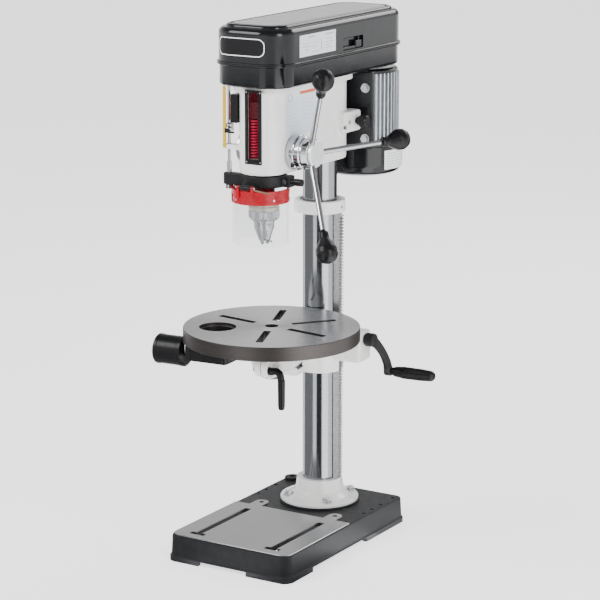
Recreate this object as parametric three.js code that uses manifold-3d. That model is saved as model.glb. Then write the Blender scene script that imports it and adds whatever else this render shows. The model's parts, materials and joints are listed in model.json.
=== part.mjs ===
// Bench drill press with an oscillating sanding spindle, round tilting table and quill feed.
// Millimetres, +Z up, the front of the machine faces -Y and the feed handles are on +X.
// The column axis is the vertical line through x = 0, y = 0 until the group is centred at the end.
import * as THREE from 'three';
import { mergeVertices } from 'three/addons/utils/BufferGeometryUtils.js';
import Module from 'manifold-3d';

const wasm = await Module();
wasm.setup();

// ---- driving dimensions ------------------------------------------------------------------
const GAP = 0.3; // clearance between pieces that touch
const THROAT = 187.6; // column axis to spindle axis
const COLUMN_R = 30.8;
const COLUMN_BOTTOM = 52;
const COLUMN_TOP = 820;
const COLUMN_SIDES = 28; // flats on the column and on every bore that fits it

const BASE_HALF = 127.3;
const BASE_FRONT = -315.2;
const BASE_BACK = 98.5;
const BASE_TOP = 48.3;
const PAD_TOP = 49.8; // machined work surface on the front of the base
const PAD_BACK = -97;
const BASE_WALL = 9;
const NOTCH = 8; // height of the gaps between the feet
const BASE_SLOT_X = 78;
const FLANGE_BOLT_CIRCLE = 59;

const NECK_TOP = 94.1;
const COLLAR_BOTTOM = 592;
const COLLAR_TOP = 614.5;

const TABLE_R = 155.6;
const TABLE_TOP = 419.1;
const TABLE_THICK = 25;
const TABLE_BOTTOM = TABLE_TOP - TABLE_THICK;
const TABLE_SWING = THREE.MathUtils.degToRad(4.36); // how far the table arm is swung to the right
const SANDING_HOLE = { x: -80.5, y: -49.1, r: 32.7 }; // from the table centre
const TILT_Z = 358; // height of the horizontal tilt axis
const TILT_R = 31;
const TILT_SEAM = -158; // where the tilting bracket meets the arm
const CLAMP_Z = 347; // height of the table's clamping screw

const RACK_MODULE = 1.8;
const RACK_TIP = 45; // distance of the tooth tips from the column axis
const LIFT_TEETH = 14;
const LIFT_R = (RACK_MODULE * LIFT_TEETH) / 2;
const LIFT_X = RACK_TIP - RACK_MODULE + LIFT_R;
const CRANK_Z = 363.4;
const WORM_R = 8.5; // bearing collar
const WORM_TIP = 6.9; // thread, just clear of the lift gear
const LIFT_Z = CRANK_Z - 21.5; // the gear hangs under the worm
const CRANK_THROW = 80;

const HEAD_BOTTOM = 690;
const HEAD_TOP = 838;
const NOSE_R = 42;
const BOSS_R = 47;
const WINDOW_X = 6;
const QUILL_R = 19;
const QUILL_SIDES = 24;
const QUILL_BOTTOM = 646;
const QUILL_TOP = 830;
const SPINDLE_TOP = 943;
const FEED_MODULE = 2;
const FEED_TEETH = 14;
const PINION_HALF = 6.5;
const FEED_R = (FEED_MODULE * FEED_TEETH) / 2;
const QUILL_PITCH = QUILL_R - FEED_MODULE; // pitch line of the quill's rack from its axis
const FEED_Y = -THROAT + QUILL_PITCH + FEED_R;
const FEED_Z = 725;
const ARM_CONE = THREE.MathUtils.degToRad(25.5);
const ARM_PHASE = THREE.MathUtils.degToRad(-32.6);
const ARM_LENGTH = 187; // hub centre to knob centre
const ROD_X = -58;
const ROD_Y = -THROAT - 20;

const CASE_FRONT = -254.2;
const CASE_BACK = 193.8;
const CASE_HALF = 75.7;
const CASE_BOTTOM = 844;
const CASE_LIP = 882.9;
const CASE_TOP = 949;
const CASE_CORNER = 52;
const SHEET = 3; // wall of the pressed case
const MOTOR_Y = 147;
const MOTOR_R = 69;
const BELL_R = 76;
const IDLER_Y = -12;
const BAR_X = 38.5; // slide bars that carry the motor plate
const BAR_Z = 756;

const GUARD_R = 50.5;
const GUARD_Y = -THROAT - 11;
const GUARD_TOP = 666;
const SHIELD_BOTTOM = 569;
const HINGE_Y = GUARD_Y - GUARD_R + 1.5;
const HINGE_Z = 672;

// ---- finishes ----------------------------------------------------------------------------
const finish = (color, roughness, metalness, extra = {}) =>
  new THREE.MeshStandardMaterial({ color, roughness, metalness, ...extra });
const FINISH = {
  white: finish(0xf1efea, 0.35, 0),
  blackPaint: finish(0x17181b, 0.22, 0),
  baseBlack: finish(0x2c2d30, 0.5, 0.2),
  steel: finish(0xb9bcc0, 0.25, 1),
  darkSteel: finish(0x4a4c50, 0.4, 1),
  iron: finish(0x8f9194, 0.35, 1),
  zinc: finish(0xc4c8cc, 0.35, 1),
  chrome: finish(0xdfe2e6, 0.1, 1),
  yellowZinc: finish(0xd0a93c, 0.35, 1),
  phenolic: finish(0x141416, 0.3, 0),
  red: finish(0xd01a1f, 0.35, 0),
  clear: finish(0xe8eef2, 0.08, 0, { transparent: true, opacity: 0.3 }),
  aluminium: finish(0xa9abad, 0.45, 1),
  belt: finish(0x1b1b1b, 0.8, 0),
};

// ---- solids ------------------------------------------------------------------------------
function toSolid(geometry) {
  const bare = geometry.index ? geometry.toNonIndexed() : geometry.clone();
  bare.deleteAttribute('normal');
  bare.deleteAttribute('uv');
  const merged = mergeVertices(bare, 1e-4);
  return new wasm.Manifold(
    new wasm.Mesh({
      numProp: 3,
      vertProperties: merged.attributes.position.array,
      triVerts: new Uint32Array(merged.index.array),
    }),
  );
}

function toGeometry(solid) {
  const mesh = solid.getMesh();
  const geometry = new THREE.BufferGeometry();
  geometry.setAttribute('position', new THREE.BufferAttribute(mesh.vertProperties, 3));
  geometry.setIndex(new THREE.BufferAttribute(mesh.triVerts, 1));
  geometry.computeVertexNormals();
  return geometry;
}

const join = (...parts) => toGeometry(parts.map(toSolid).reduce((a, b) => a.add(b)));
const cut = (body, ...tools) =>
  toGeometry(tools.map(toSolid).reduce((a, b) => a.subtract(b), toSolid(body)));
const common = (a, b) => toGeometry(toSolid(a).intersect(toSolid(b)));

// A box between two values on each axis.
function block(x, y, z) {
  const geometry = new THREE.BoxGeometry(x[1] - x[0], y[1] - y[0], z[1] - z[0]);
  return geometry.translate((x[0] + x[1]) / 2, (y[0] + y[1]) / 2, (z[0] + z[1]) / 2);
}

// Turns a geometry made along +Z so that its axis is +X or +Y.
function alongAxis(geometry, axis) {
  if (axis === 'x') geometry.rotateY(Math.PI / 2);
  if (axis === 'y') geometry.rotateX(-Math.PI / 2);
  return geometry;
}

// A solid of revolution: profile points are [radius, height along the axis].
function turned(profile, axis = 'z', [x, y, z] = [0, 0, 0], segments = 24) {
  const points = profile.map(([r, h]) => new THREE.Vector2(r, h));
  const geometry = new THREE.LatheGeometry(points, segments).rotateX(Math.PI / 2);
  return alongAxis(geometry, axis).translate(x, y, z);
}

function rod(axis, r, from, to, at = [0, 0, 0], segments = 16) {
  return turned([[0, from], [r, from], [r, to], [0, to]], axis, at, segments);
}

function ring(axis, inner, outer, from, to, at = [0, 0, 0], segments = 24) {
  const profile = [[inner, from], [outer, from], [outer, to], [inner, to], [inner, from]];
  return turned(profile, axis, at, segments);
}

function prism(shape, from, to, curveSegments = 8) {
  const geometry = new THREE.ExtrudeGeometry(shape, {
    depth: to - from,
    bevelEnabled: false,
    curveSegments,
  });
  return geometry.translate(0, 0, from);
}

const polygon = (points) => new THREE.Shape(points.map(([x, y]) => new THREE.Vector2(x, y)));

function hexPrism(axis, acrossFlats, from, to, at) {
  return rod(axis, acrossFlats / Math.sqrt(3), from, to, at, 6);
}

// A rectangle with rounded corners: front corners first, then back corners.
function roundedRect(x0, y0, x1, y1, rFront, rBack = rFront) {
  const shape = new THREE.Shape();
  shape.moveTo(x0 + rFront, y0);
  shape.lineTo(x1 - rFront, y0);
  shape.absarc(x1 - rFront, y0 + rFront, rFront, -Math.PI / 2, 0, false);
  shape.lineTo(x1, y1 - rBack);
  shape.absarc(x1 - rBack, y1 - rBack, rBack, 0, Math.PI / 2, false);
  shape.lineTo(x0 + rBack, y1);
  shape.absarc(x0 + rBack, y1 - rBack, rBack, Math.PI / 2, Math.PI, false);
  shape.lineTo(x0, y0 + rFront);
  shape.absarc(x0 + rFront, y0 + rFront, rFront, Math.PI, 1.5 * Math.PI, false);
  return shape;
}

// The outline round two circles on the Y axis: the front one at yA and the back one at yB.
function twoCircleOutline(yA, rA, yB, rB) {
  const lean = Math.asin((rB - rA) / (yB - yA));
  const shape = new THREE.Shape();
  shape.absarc(0, yA, rA, Math.PI + lean, 2 * Math.PI - lean, false);
  shape.absarc(0, yB, rB, -lean, Math.PI + lean, false);
  return shape;
}

// A straight bar from one point to another.
function bar(from, to, rFrom, rTo = rFrom, segments = 12) {
  const a = new THREE.Vector3(...from);
  const b = new THREE.Vector3(...to);
  const way = b.clone().sub(a);
  const geometry = new THREE.CylinderGeometry(rTo, rFrom, way.length(), segments);
  const turn = new THREE.Quaternion().setFromUnitVectors(
    new THREE.Vector3(0, 1, 0),
    way.clone().normalize(),
  );
  return geometry.applyQuaternion(turn).translate(...a.add(b).multiplyScalar(0.5).toArray());
}

// ---- scene graph -------------------------------------------------------------------------
const press = new THREE.Group();
const tableArm = new THREE.Group(); // everything that swings with the table arm
tableArm.rotation.z = TABLE_SWING;
press.add(tableArm);

function node(name, geometry, material, parent = press) {
  const mesh = new THREE.Mesh(geometry, material);
  mesh.name = name;
  parent.add(mesh);
  return mesh;
}

// ---- base and column ---------------------------------------------------------------------
const flangeBoltPlaces = [45, 135, 225, 315].map((deg) => {
  const a = THREE.MathUtils.degToRad(deg);
  return [FLANGE_BOLT_CIRCLE * Math.cos(a), FLANGE_BOLT_CIRCLE * Math.sin(a)];
});

function baseCasting() {
  const outer = prism(roundedRect(-BASE_HALF, BASE_FRONT, BASE_HALF, BASE_BACK, 16, 10), 0, BASE_TOP, 3);
  const pad = prism(roundedRect(-BASE_HALF, BASE_FRONT, BASE_HALF, PAD_BACK, 16, 0.5), BASE_TOP - 1, PAD_TOP, 3);
  const seat = rod('z', 74, BASE_TOP - 1, COLUMN_BOTTOM - GAP, [0, 0, 0], COLUMN_SIDES);
  const ears = [-1, 1].map((side) => rod('z', 13, BASE_TOP - 1, PAD_TOP, [side * 78.5, -76, 0], 16));
  const earNecks = [-1, 1].map((side) =>
    block([side * 78.5 - 13, side * 78.5 + 13], [PAD_BACK - 5, -76], [BASE_TOP - 1, PAD_TOP]),
  );
  const lug = rod('z', 15, BASE_TOP - 1, BASE_TOP + 5, [-108, 80, 0], 16);
  const inside = prism(
    roundedRect(-BASE_HALF + BASE_WALL, BASE_FRONT + BASE_WALL, BASE_HALF - BASE_WALL, BASE_BACK - BASE_WALL, 8),
    -1,
    BASE_TOP - 10,
    3,
  );
  const columnPad = rod('z', 72, 12, BASE_TOP - 5, [0, 0, 0], 24);
  const feetGaps = [
    block([-60, 40], [BASE_FRONT - 5, BASE_FRONT + 20], [-1, NOTCH]),
    block([-60, 60], [BASE_BACK - 20, BASE_BACK + 5], [-1, NOTCH]),
    block([-BASE_HALF - 5, -BASE_HALF + 20], [-232, -45], [-1, NOTCH]),
    block([BASE_HALF - 20, BASE_HALF + 5], [-232, -45], [-1, NOTCH]),
  ];
  const slots = [-BASE_SLOT_X, BASE_SLOT_X].flatMap((x) => [
    block([x - 4.5, x + 4.5], [-288, -121], [30, 60]),
    block([x - 15, x + 15], [-293, -282], [30, 60]),
  ]);
  const sideHoles = [-1, 1].flatMap((side) =>
    [-31.5, -3.7, 29.4].map((y) => rod('z', 3.2, 30, 60, [side * 113.8, y, 0], 6)),
  );
  const earHoles = [-1, 1].map((side) => rod('z', 4.6, 30, 60, [side * 78.5, -75, 0], 8));
  const bolts = flangeBoltPlaces.map(([x, y]) => rod('z', 5.1, 20, 60, [x, y, 0], 8));
  const body = join(cut(join(outer, pad, seat, ...ears, ...earNecks, lug), inside), columnPad);
  const lugHole = rod('z', 6, 30, 60, [-108, 80, 0], 10);
  return cut(body, ...feetGaps, ...slots, ...sideHoles, ...earHoles, ...bolts, lugHole);
}

function columnFlange() {
  const body = turned(
    [[COLUMN_R + GAP, COLUMN_BOTTOM], [72.3, COLUMN_BOTTOM], [72.3, 56.5], [50, 66], [43.5, 74],
      [41.7, NECK_TOP], [COLUMN_R + GAP, NECK_TOP], [COLUMN_R + GAP, COLUMN_BOTTOM]],
    'z', [0, 0, 0], COLUMN_SIDES,
  );
  const spots = flangeBoltPlaces.map(([x, y]) => rod('z', 9.5, 61, 80, [x, y, 0], 12));
  const holes = flangeBoltPlaces.map(([x, y]) => rod('z', 5.1, 45, 80, [x, y, 0], 8));
  return cut(body, ...spots, ...holes);
}

function flangeBolt([x, y]) {
  return join(hexPrism('z', 13, 61 + GAP, 68.5, [x, y, 0]), rod('z', 4.7, 30, 62, [x, y, 0], 8));
}

function rackCollar() {
  const body = ring('z', COLUMN_R + GAP, 46, COLLAR_BOTTOM, COLLAR_TOP, [0, 0, 0], COLUMN_SIDES);
  return cut(body, rod('x', 3, 20, 60, [0, 0, (COLLAR_BOTTOM + COLLAR_TOP) / 2], 8));
}

// ---- gear teeth --------------------------------------------------------------------------
// The outline of a spur gear with plain flanks and a little backlash, its first tooth on +X.
function gearOutline(teeth, module) {
  const r = (teeth * module) / 2;
  const shape = [];
  const corners = [[-0.98, -1.15], [-0.66, 0], [-0.26, 0.85], [0.26, 0.85], [0.66, 0], [0.98, -1.15]];
  for (let i = 0; i < teeth; i++) {
    const middle = (i / teeth) * 2 * Math.PI;
    for (const [across, out] of corners) {
      const radius = r + out * module;
      const angle = middle + Math.atan2(across * module, radius);
      shape.push([radius * Math.cos(angle), radius * Math.sin(angle)]);
    }
  }
  return polygon(shape);
}

// The outline of a straight rack, as [distance from its back, height], with V-shaped tooth spaces.
function rackProfile(back, pitchLine, module, bottom, top, toothAt) {
  const pitch = Math.PI * module;
  const root = pitchLine - 1.5 * module;
  const tip = pitchLine + 0.85 * module;
  const first = Math.ceil((bottom + pitch - toothAt) / pitch);
  const last = Math.floor((top - pitch - toothAt) / pitch);
  const points = [[back, bottom], [root, bottom], [root, toothAt + (first - 0.5) * pitch]];
  for (let i = first; i <= last; i++) {
    const middle = toothAt + i * pitch;
    points.push([tip, middle - 0.3 * module], [tip, middle + 0.3 * module], [root, middle + pitch / 2]);
  }
  points.push([root, top], [back, top]);
  return polygon(points);
}

// ---- table group -------------------------------------------------------------------------
// The lift gear's tooth space faces the column, so a rack tooth sits at the gear's height.
function liftRack() {
  const pitchLine = LIFT_X - LIFT_R;
  const profile = rackProfile(COLUMN_R + GAP, pitchLine, RACK_MODULE, NECK_TOP + GAP, COLLAR_BOTTOM - GAP, LIFT_Z);
  return prism(profile, -7, 7).rotateX(Math.PI / 2);
}

function liftGear() {
  const halfPitch = Math.PI / LIFT_TEETH;
  const teeth = prism(gearOutline(LIFT_TEETH, RACK_MODULE), -7, 7).rotateZ(halfPitch);
  const gear = teeth.rotateX(Math.PI / 2).translate(LIFT_X, 0, LIFT_Z);
  return join(gear, rod('y', 5, -17, 17, [LIFT_X, 0, LIFT_Z], 12));
}

function tableArmCasting() {
  const sleeve = rod('z', 44, 299, 372, [0, 0, 0], COLUMN_SIDES);
  const neckProfile = [[0, TILT_SEAM], [TILT_R, TILT_SEAM], [TILT_R, -60], [40, 0], [0, 0]];
  const neck = turned(neckProfile, 'y', [0, 0, TILT_Z], 24);
  const web = block([-13, 13], [-120, 0], [312, TILT_Z]);
  const overSleeve = block([-60, 60], [-60, 60], [372, 500]);
  const housing = block([20, 92], [-24, 26], [322, 378]);
  const rearEar = block([-14, 14], [30, 62], [310, 362]);
  const body = join(cut(join(sleeve, neck, web), overSleeve), housing, rearEar);
  const gearReach = LIFT_R + 2.4;
  return cut(
    body,
    rod('z', COLUMN_R + GAP, 200, 500, [0, 0, 0], COLUMN_SIDES),
    block([0, LIFT_X - LIFT_R + 3], [-7.6, 7.6], [200, 500]),
    rod('y', gearReach, -7.6, 7.6, [LIFT_X, 0, LIFT_Z], 16),
    block([LIFT_X - gearReach, LIFT_X + gearReach], [-7.6, 7.6], [200, LIFT_Z]),
    rod('y', 5.4, -17.6, 17.6, [LIFT_X, 0, LIFT_Z], 10),
    block([LIFT_X - 5.4, LIFT_X + 5.4], [-17.6, 17.6], [200, LIFT_Z]),
    rod('x', WORM_R + 0.5, LIFT_X - LIFT_R + 2, 120, [0, 0, CRANK_Z], 14),
    block([-1.5, 1.5], [20, 70], [290, 380]),
    rod('x', 5.4, -30, 30, [0, 52, 336], 10),
    rod('y', 8.4, TILT_SEAM - 1, -110, [0, 0, TILT_Z], 12),
  );
}

function crankWorm() {
  const start = RACK_TIP + 1.5;
  const profile = [[0, start], [WORM_TIP, start], [WORM_TIP, 66], [4, 67], [4, 78], [WORM_R, 78], [WORM_R, 92],
    [5, 92], [5, 111], [0, 111]];
  return turned(profile, 'x', [0, 0, CRANK_Z], 14);
}

// The cranked handle hangs down and back from its hub and is dished outwards.
const crankDown = new THREE.Vector2(44.7, -66.4).setLength(CRANK_THROW);
function crankArm() {
  const hub = rod('x', 12.5, 94.5, 112.5, [0, 0, CRANK_Z], 20);
  const arm = bar([106, 0, CRANK_Z], [118, crankDown.x, CRANK_Z + crankDown.y], 8.5, 7.5, 10);
  const end = rod('x', 9, 111.5, 124.5, [0, crankDown.x, CRANK_Z + crankDown.y], 16);
  const spindleBore = rod('x', 5.3, 90, 111.3, [0, 0, CRANK_Z], 16);
  const gripBore = rod('x', 4.3, 116, 130, [0, crankDown.x, CRANK_Z + crankDown.y], 12);
  return cut(join(hub, arm, end), spindleBore, gripBore);
}

function crankGrip() {
  const at = [0, crankDown.x, CRANK_Z + crankDown.y];
  return turned([[0, 116.5], [4, 116.5], [4, 126], [8, 126], [10.5, 133], [11.5, 160], [10, 205], [7, 209.5],
    [0, 209.5]], 'x', at, 16);
}

function columnLockLever() {
  const at = [0, 52, 336];
  return join(
    rod('x', 5, -20, 20, at, 10),
    rod('x', 9, -46, -14 - GAP, at, 14),
    hexPrism('x', 14, 14 + GAP, 22, at),
    bar([-41, 54, 330], [-46, 92, 262], 6, 8, 10),
  );
}

// The bracket turns on its own stud in the arm and clamps the table's stem between two front ears.
function tiltBracket() {
  const disc = rod('y', TILT_R, -THROAT - 22, TILT_SEAM - GAP, [0, 0, TILT_Z], 24);
  const stud = rod('y', 8, TILT_SEAM - 2, -112, [0, 0, TILT_Z], 12);
  const hub = rod('z', 27, TILT_Z, TABLE_BOTTOM - GAP, [0, -THROAT, 0], 24);
  const ears = block([-13, 13], [-THROAT - 43, -THROAT], [332, 372]);
  const stemBore = rod('z', 16.3, 322, 400, [0, -THROAT, 0], 20);
  const slit = block([-1, 1], [-THROAT - 50, -THROAT], [300, 400]);
  const clampBore = rod('x', 4.8, -20, 20, [0, -THROAT - 35, CLAMP_Z], 10);
  return cut(join(disc, stud, hub, ears), stemBore, slit, clampBore);
}

function tableDisc() {
  const top = turned([[0, TABLE_BOTTOM + 12], [TABLE_R - 14, TABLE_BOTTOM + 12], [TABLE_R - 14, TABLE_BOTTOM],
    [TABLE_R, TABLE_BOTTOM], [TABLE_R, TABLE_TOP - 1], [TABLE_R - 1, TABLE_TOP], [0, TABLE_TOP]], 'z', [0, 0, 0], 40);
  const stem = turned([[0, 326], [16, 326], [16, TABLE_BOTTOM], [30, TABLE_BOTTOM], [34, TABLE_TOP - 5],
    [0, TABLE_TOP - 5]], 'z', [0, 0, 0], 20);
  const slots = [-12.5, 47.5, 107.5, 167.5, 287.5].map((deg) =>
    block([38, 120], [-6.5, 6.5], [380, 430]).rotateZ(THREE.MathUtils.degToRad(deg)),
  );
  const wall = rod('z', SANDING_HOLE.r + 7, TABLE_BOTTOM, TABLE_TOP - 5, [SANDING_HOLE.x, SANDING_HOLE.y, 0], 24);
  const hole = rod('z', SANDING_HOLE.r - 4, 380, 430, [SANDING_HOLE.x, SANDING_HOLE.y, 0], 24);
  const ledge = rod('z', SANDING_HOLE.r, TABLE_TOP - 6, 430, [SANDING_HOLE.x, SANDING_HOLE.y, 0], 24);
  const centreHole = rod('z', 12, 300, 430, [0, 0, 0], 16);
  const body = cut(join(top, stem, wall), ...slots, hole, ledge, centreHole);
  return body.translate(0, -THROAT, 0);
}

// The chute hangs under the sanding hole and leads to the round port past the table's edge.
function dustChute() {
  const [x, y] = [SANDING_HOLE.x, SANDING_HOLE.y - THROAT];
  const box = block([x - 46, x + 34], [y - 34, y + 34], [357.5, TABLE_BOTTOM - GAP]);
  const hollow = block([x - 43, x + 31], [y - 31, y + 31], [360.5, 400]);
  const mouth = rod('x', 13, x - 62, x - 30, [0, y, 376], 16);
  return cut(join(box, rod('x', 16, x - 60, x - 44, [0, y, 376], 16)), hollow, mouth);
}

function dustPort() {
  const [x, y] = [SANDING_HOLE.x, SANDING_HOLE.y - THROAT];
  const near = x - 60 - GAP;
  const profile = [[0, near - 3], [24, near - 3], [24, near - 58], [27, near - 58], [27, near - 4], [24, near], [0, near]];
  const cup = turned(profile, 'x', [0, y, 367], 24);
  return cut(cup, rod('x', 13, near - 10, near + 5, [0, y, 376], 16));
}

function tableLockLever() {
  const y = -THROAT - 35;
  const stud = rod('x', 4.5, -16, 15, [0, y, CLAMP_Z], 10);
  const hub = rod('x', 7, 13 + GAP, 24, [0, y, CLAMP_Z], 14);
  const elbow = bar([20, y, CLAMP_Z], [36, y, CLAMP_Z - 6], 6, 6.5, 10);
  return join(stud, hub, elbow, bar([36, y, CLAMP_Z - 2], [38, y, CLAMP_Z - 67], 6.8, 6.4, 12));
}

// ---- head --------------------------------------------------------------------------------
function headCasting() {
  const body = prism(twoCircleOutline(-THROAT, NOSE_R, 0, BOSS_R), HEAD_BOTTOM, HEAD_TOP, 10);
  const topFlange = prism(roundedRect(-52, -THROAT - 36, 52, 46, 28), HEAD_TOP - 8, CASE_BOTTOM - GAP, 4);
  const idlerStud = rod('z', 8, HEAD_TOP, 930, [0, IDLER_Y, 0], 12);
  const windowPad = block([WINDOW_X - 17, WINDOW_X + 17], [-THROAT - 40.5, -THROAT - 10], [709, HEAD_TOP - 4]);
  const rodLug = block([ROD_X - 11, -20], [ROD_Y - 8.5, ROD_Y + 8.5], [729, 739]);
  const barBosses = [-1, 1].map((side) =>
    block(side > 0 ? [30, 58] : [-58, -30], [-12, 48], [737, 775]),
  );
  const springSeat = rod('x', 27, -46, -20, [0, FEED_Y, FEED_Z], 24);
  const hubSeat = rod('x', 27, 20, 41, [0, FEED_Y, FEED_Z], 24);
  const tools = [
    rod('z', COLUMN_R + GAP, 600, COLUMN_TOP + 3, [0, 0, 0], COLUMN_SIDES),
    rod('z', QUILL_R + GAP, 600, 900, [0, -THROAT, 0], QUILL_SIDES),
    rod('x', FEED_R + 2.6, -PINION_HALF - 0.5, PINION_HALF + 0.5, [0, FEED_Y, FEED_Z], 20),
    rod('x', 9.3, -80, 80, [0, FEED_Y, FEED_Z], 16),
    rod('x', 31.6, 42 - GAP, 60, [0, FEED_Y, FEED_Z], 24),
    block([-34, 34], [-152, -50], [750, 900]), // hollow over the feed shaft
    block([-34, 34], [-118, -50], [600, 760]), // and open underneath between quill and column
    block([WINDOW_X - 11, WINDOW_X + 11], [-THROAT - 60, -THROAT - 20.8], [718.7, 834]),
    rod('z', 4.6, 700, 760, [ROD_X, ROD_Y, 0], 12),
    block([-60, -32.7], [-THROAT - 35, -THROAT - 2], [776.7, 827.3]),
    rod('y', 5.8, -60, 70, [BAR_X, 0, BAR_Z], 12),
    rod('y', 5.8, -60, 70, [-BAR_X, 0, BAR_Z], 12),
    rod('x', 5.3, BAR_X, 70, [0, 30, BAR_Z], 10),
  ];
  const solids = join(body, topFlange, windowPad, rodLug, ...barBosses, springSeat, hubSeat);
  return join(cut(solids, ...tools), idlerStud);
}

function windowFrame() {
  const plate = block([WINDOW_X - 17, WINDOW_X + 17], [-THROAT - 43.6, -THROAT - 42.3], [710, 838]);
  return cut(plate, block([WINDOW_X - 10.5, WINDOW_X + 10.5], [-THROAT - 60, -THROAT], [719, 834]));
}

function switchBox() {
  const box = block([-46, -33], [-THROAT - 34.5, -THROAT - 2.5], [777, 827]);
  return cut(box, block([-47, -36], [-THROAT - 28, -THROAT - 9], [783, 821]));
}

function switchPaddle() {
  const profile = polygon([[-42, 785], [-52, 787], [-48.5, 802], [-51, 817], [-42, 819], [-41, 802]]);
  return prism(profile, -9, 9).rotateX(Math.PI / 2).translate(0, -THROAT - 18.5, 0);
}

function springHousing() {
  return turned([[0, -62], [26, -62], [29, -59], [29, -46 - GAP], [10, -46 - GAP], [10, -57], [0, -57]], 'x',
    [0, FEED_Y, FEED_Z], 24);
}

// ---- belt case and drive -----------------------------------------------------------------
function caseShell(inset, from, to) {
  const shape = roundedRect(-CASE_HALF + inset, CASE_FRONT + inset, CASE_HALF - inset, CASE_BACK - inset,
    CASE_CORNER - inset, CASE_CORNER - inset);
  return prism(shape, from, to, 4);
}

function caseTray() {
  const body = join(caseShell(4.5, CASE_BOTTOM, CASE_LIP - 3), caseShell(0, CASE_LIP - 3.2, CASE_LIP));
  const motorSlot = block([-14, 14], [MOTOR_Y - 26, MOTOR_Y + 14], [800, 900]);
  return cut(
    body,
    caseShell(4.5 + SHEET, CASE_BOTTOM + SHEET, 1000),
    motorSlot,
    rod('z', 22, 800, 900, [0, -THROAT, 0], 24),
    rod('z', 9.5, 800, 900, [0, IDLER_Y, 0], 16),
  );
}

// A case outline with a rounded top edge.
function domed(inset, from, to, round, steps) {
  const shape = roundedRect(-CASE_HALF + inset + round, CASE_FRONT + inset + round, CASE_HALF - inset - round,
    CASE_BACK - inset - round, CASE_CORNER - inset - round, CASE_CORNER - inset - round);
  const geometry = new THREE.ExtrudeGeometry(shape, {
    depth: to - from - round,
    bevelThickness: round,
    bevelSize: round,
    bevelSegments: steps,
    curveSegments: 4,
  });
  return geometry.translate(0, 0, from);
}

const LID_HINGES = [-40, 120]; // middles of the two hinge barrels along the left edge

function caseLid() {
  const shoulder = CASE_TOP - 5;
  const outer = join(
    domed(3, CASE_LIP - 20, shoulder, 11, 2),
    domed(16, shoulder - 20, CASE_TOP, 4, 1),
    caseShell(0, CASE_LIP + GAP, CASE_LIP + 3),
    ...LID_HINGES.map((y) => rod('y', 2.9, y - 22, y + 22, [-CASE_HALF - 1, 0, CASE_LIP + 3.2], 12)),
  );
  const inner = join(
    domed(3 + SHEET, CASE_LIP - 20, shoulder - SHEET, 9, 1),
    domed(20, shoulder - 20, CASE_TOP - SHEET, 2, 1),
  );
  const pocketWall = block([CASE_HALF - 16, CASE_HALF - 4], [-50, 32], [CASE_LIP + 1, 918]);
  const pocket = block([CASE_HALF - 13, CASE_HALF + 5], [-46, 28], [CASE_LIP - 10, 914]);
  const below = block([-200, 200], [-400, 400], [800, CASE_LIP + GAP]);
  return cut(join(cut(outer, inner), common(pocketWall, outer)), pocket, below);
}

const STEP = 16; // height of one pulley step
const PULLEY_BOTTOM = 856;
const FLANGE = 5; // how far the pulley rims stand out from the grooves
// Radii at the bottom of each belt groove, from the lowest groove up.
const GROOVES = {
  spindle: [24, 32, 40, 48],
  idler: [50, 42, 34, 26],
  motor: [17, 22, 27, 32],
};

function steppedPulley(grooves, y, sleeve) {
  const profile = [...sleeve, [grooves[0] + FLANGE, PULLEY_BOTTOM]];
  grooves.forEach((r, i) => {
    const z = PULLEY_BOTTOM + i * STEP;
    profile.push([r + FLANGE, z + 1], [r, z + 3], [r, z + STEP - 3], [r + FLANGE, z + STEP - 1]);
  });
  const bore = sleeve[0][0];
  profile.push([bore, PULLEY_BOTTOM + grooves.length * STEP], sleeve[0]);
  return turned(profile, 'z', [0, y, 0], 16);
}

// The spindle pulley's driving sleeve reaches down inside the quill, so the spindle never leaves it.
const DRIVE_SLEEVE = [[9.3, 800], [12, 800], [12, 832], [15.3, 832], [15.3, PULLEY_BOTTOM]];
const PLAIN_BORE = [[8.3, PULLEY_BOTTOM]];

// A flat-sided loop of belt in one groove of each of two pulleys.
function beltLoop(level, yA, rA, yB, rB) {
  const z = PULLEY_BOTTOM + level * STEP + 4;
  const outer = prism(twoCircleOutline(yA, rA + 5, yB, rB + 5), z, z + 8, 10);
  const inner = prism(twoCircleOutline(yA, rA + 1, yB, rB + 1), z - 1, z + 9, 10);
  return cut(outer, inner);
}

// ---- motor -------------------------------------------------------------------------------
function motorPlate() {
  const plate = block([-72, 72], [60, 68], [700, 840]);
  const saddle = block([-40, 40], [66, 84], [720, 826]);
  const clearance = rod('z', MOTOR_R + GAP, 600, 900, [0, MOTOR_Y, 0], 36);
  const bars = [-BAR_X, BAR_X].map((x) => rod('y', 5.5, -46, 64, [x, 0, BAR_Z], 12));
  return join(cut(join(plate, saddle), clearance), ...bars);
}

function motorHousing() {
  const fins = 24;
  const outline = [];
  for (let i = 0; i < fins; i++) {
    const a = (i / fins) * 2 * Math.PI;
    const half = Math.PI / fins;
    for (const [r, share] of [[MOTOR_R - 8, -0.55], [MOTOR_R, -0.4], [MOTOR_R, 0.4], [MOTOR_R - 8, 0.55]]) {
      outline.push([r * Math.cos(a + share * half), r * Math.sin(a + share * half)]);
    }
  }
  const finned = prism(polygon(outline), 706, 830).translate(0, MOTOR_Y, 0);
  const topRing = rod('z', MOTOR_R - 3, 830, 838, [0, MOTOR_Y, 0], 24);
  const hollow = rod('z', 52, 700, 826, [0, MOTOR_Y, 0], 20);
  const shaftBore = rod('z', 8.4, 800, 850, [0, MOTOR_Y, 0], 12);
  return cut(join(finned, topRing), hollow, shaftBore);
}

function motorBell() {
  return turned([[0, 642], [58, 642], [70, 647], [BELL_R, 660], [BELL_R, 704], [MOTOR_R, 706 - GAP],
    [66, 706 - GAP], [66, 658], [60, 652], [0, 652]], 'z', [0, MOTOR_Y, 0], 28);
}

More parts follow.
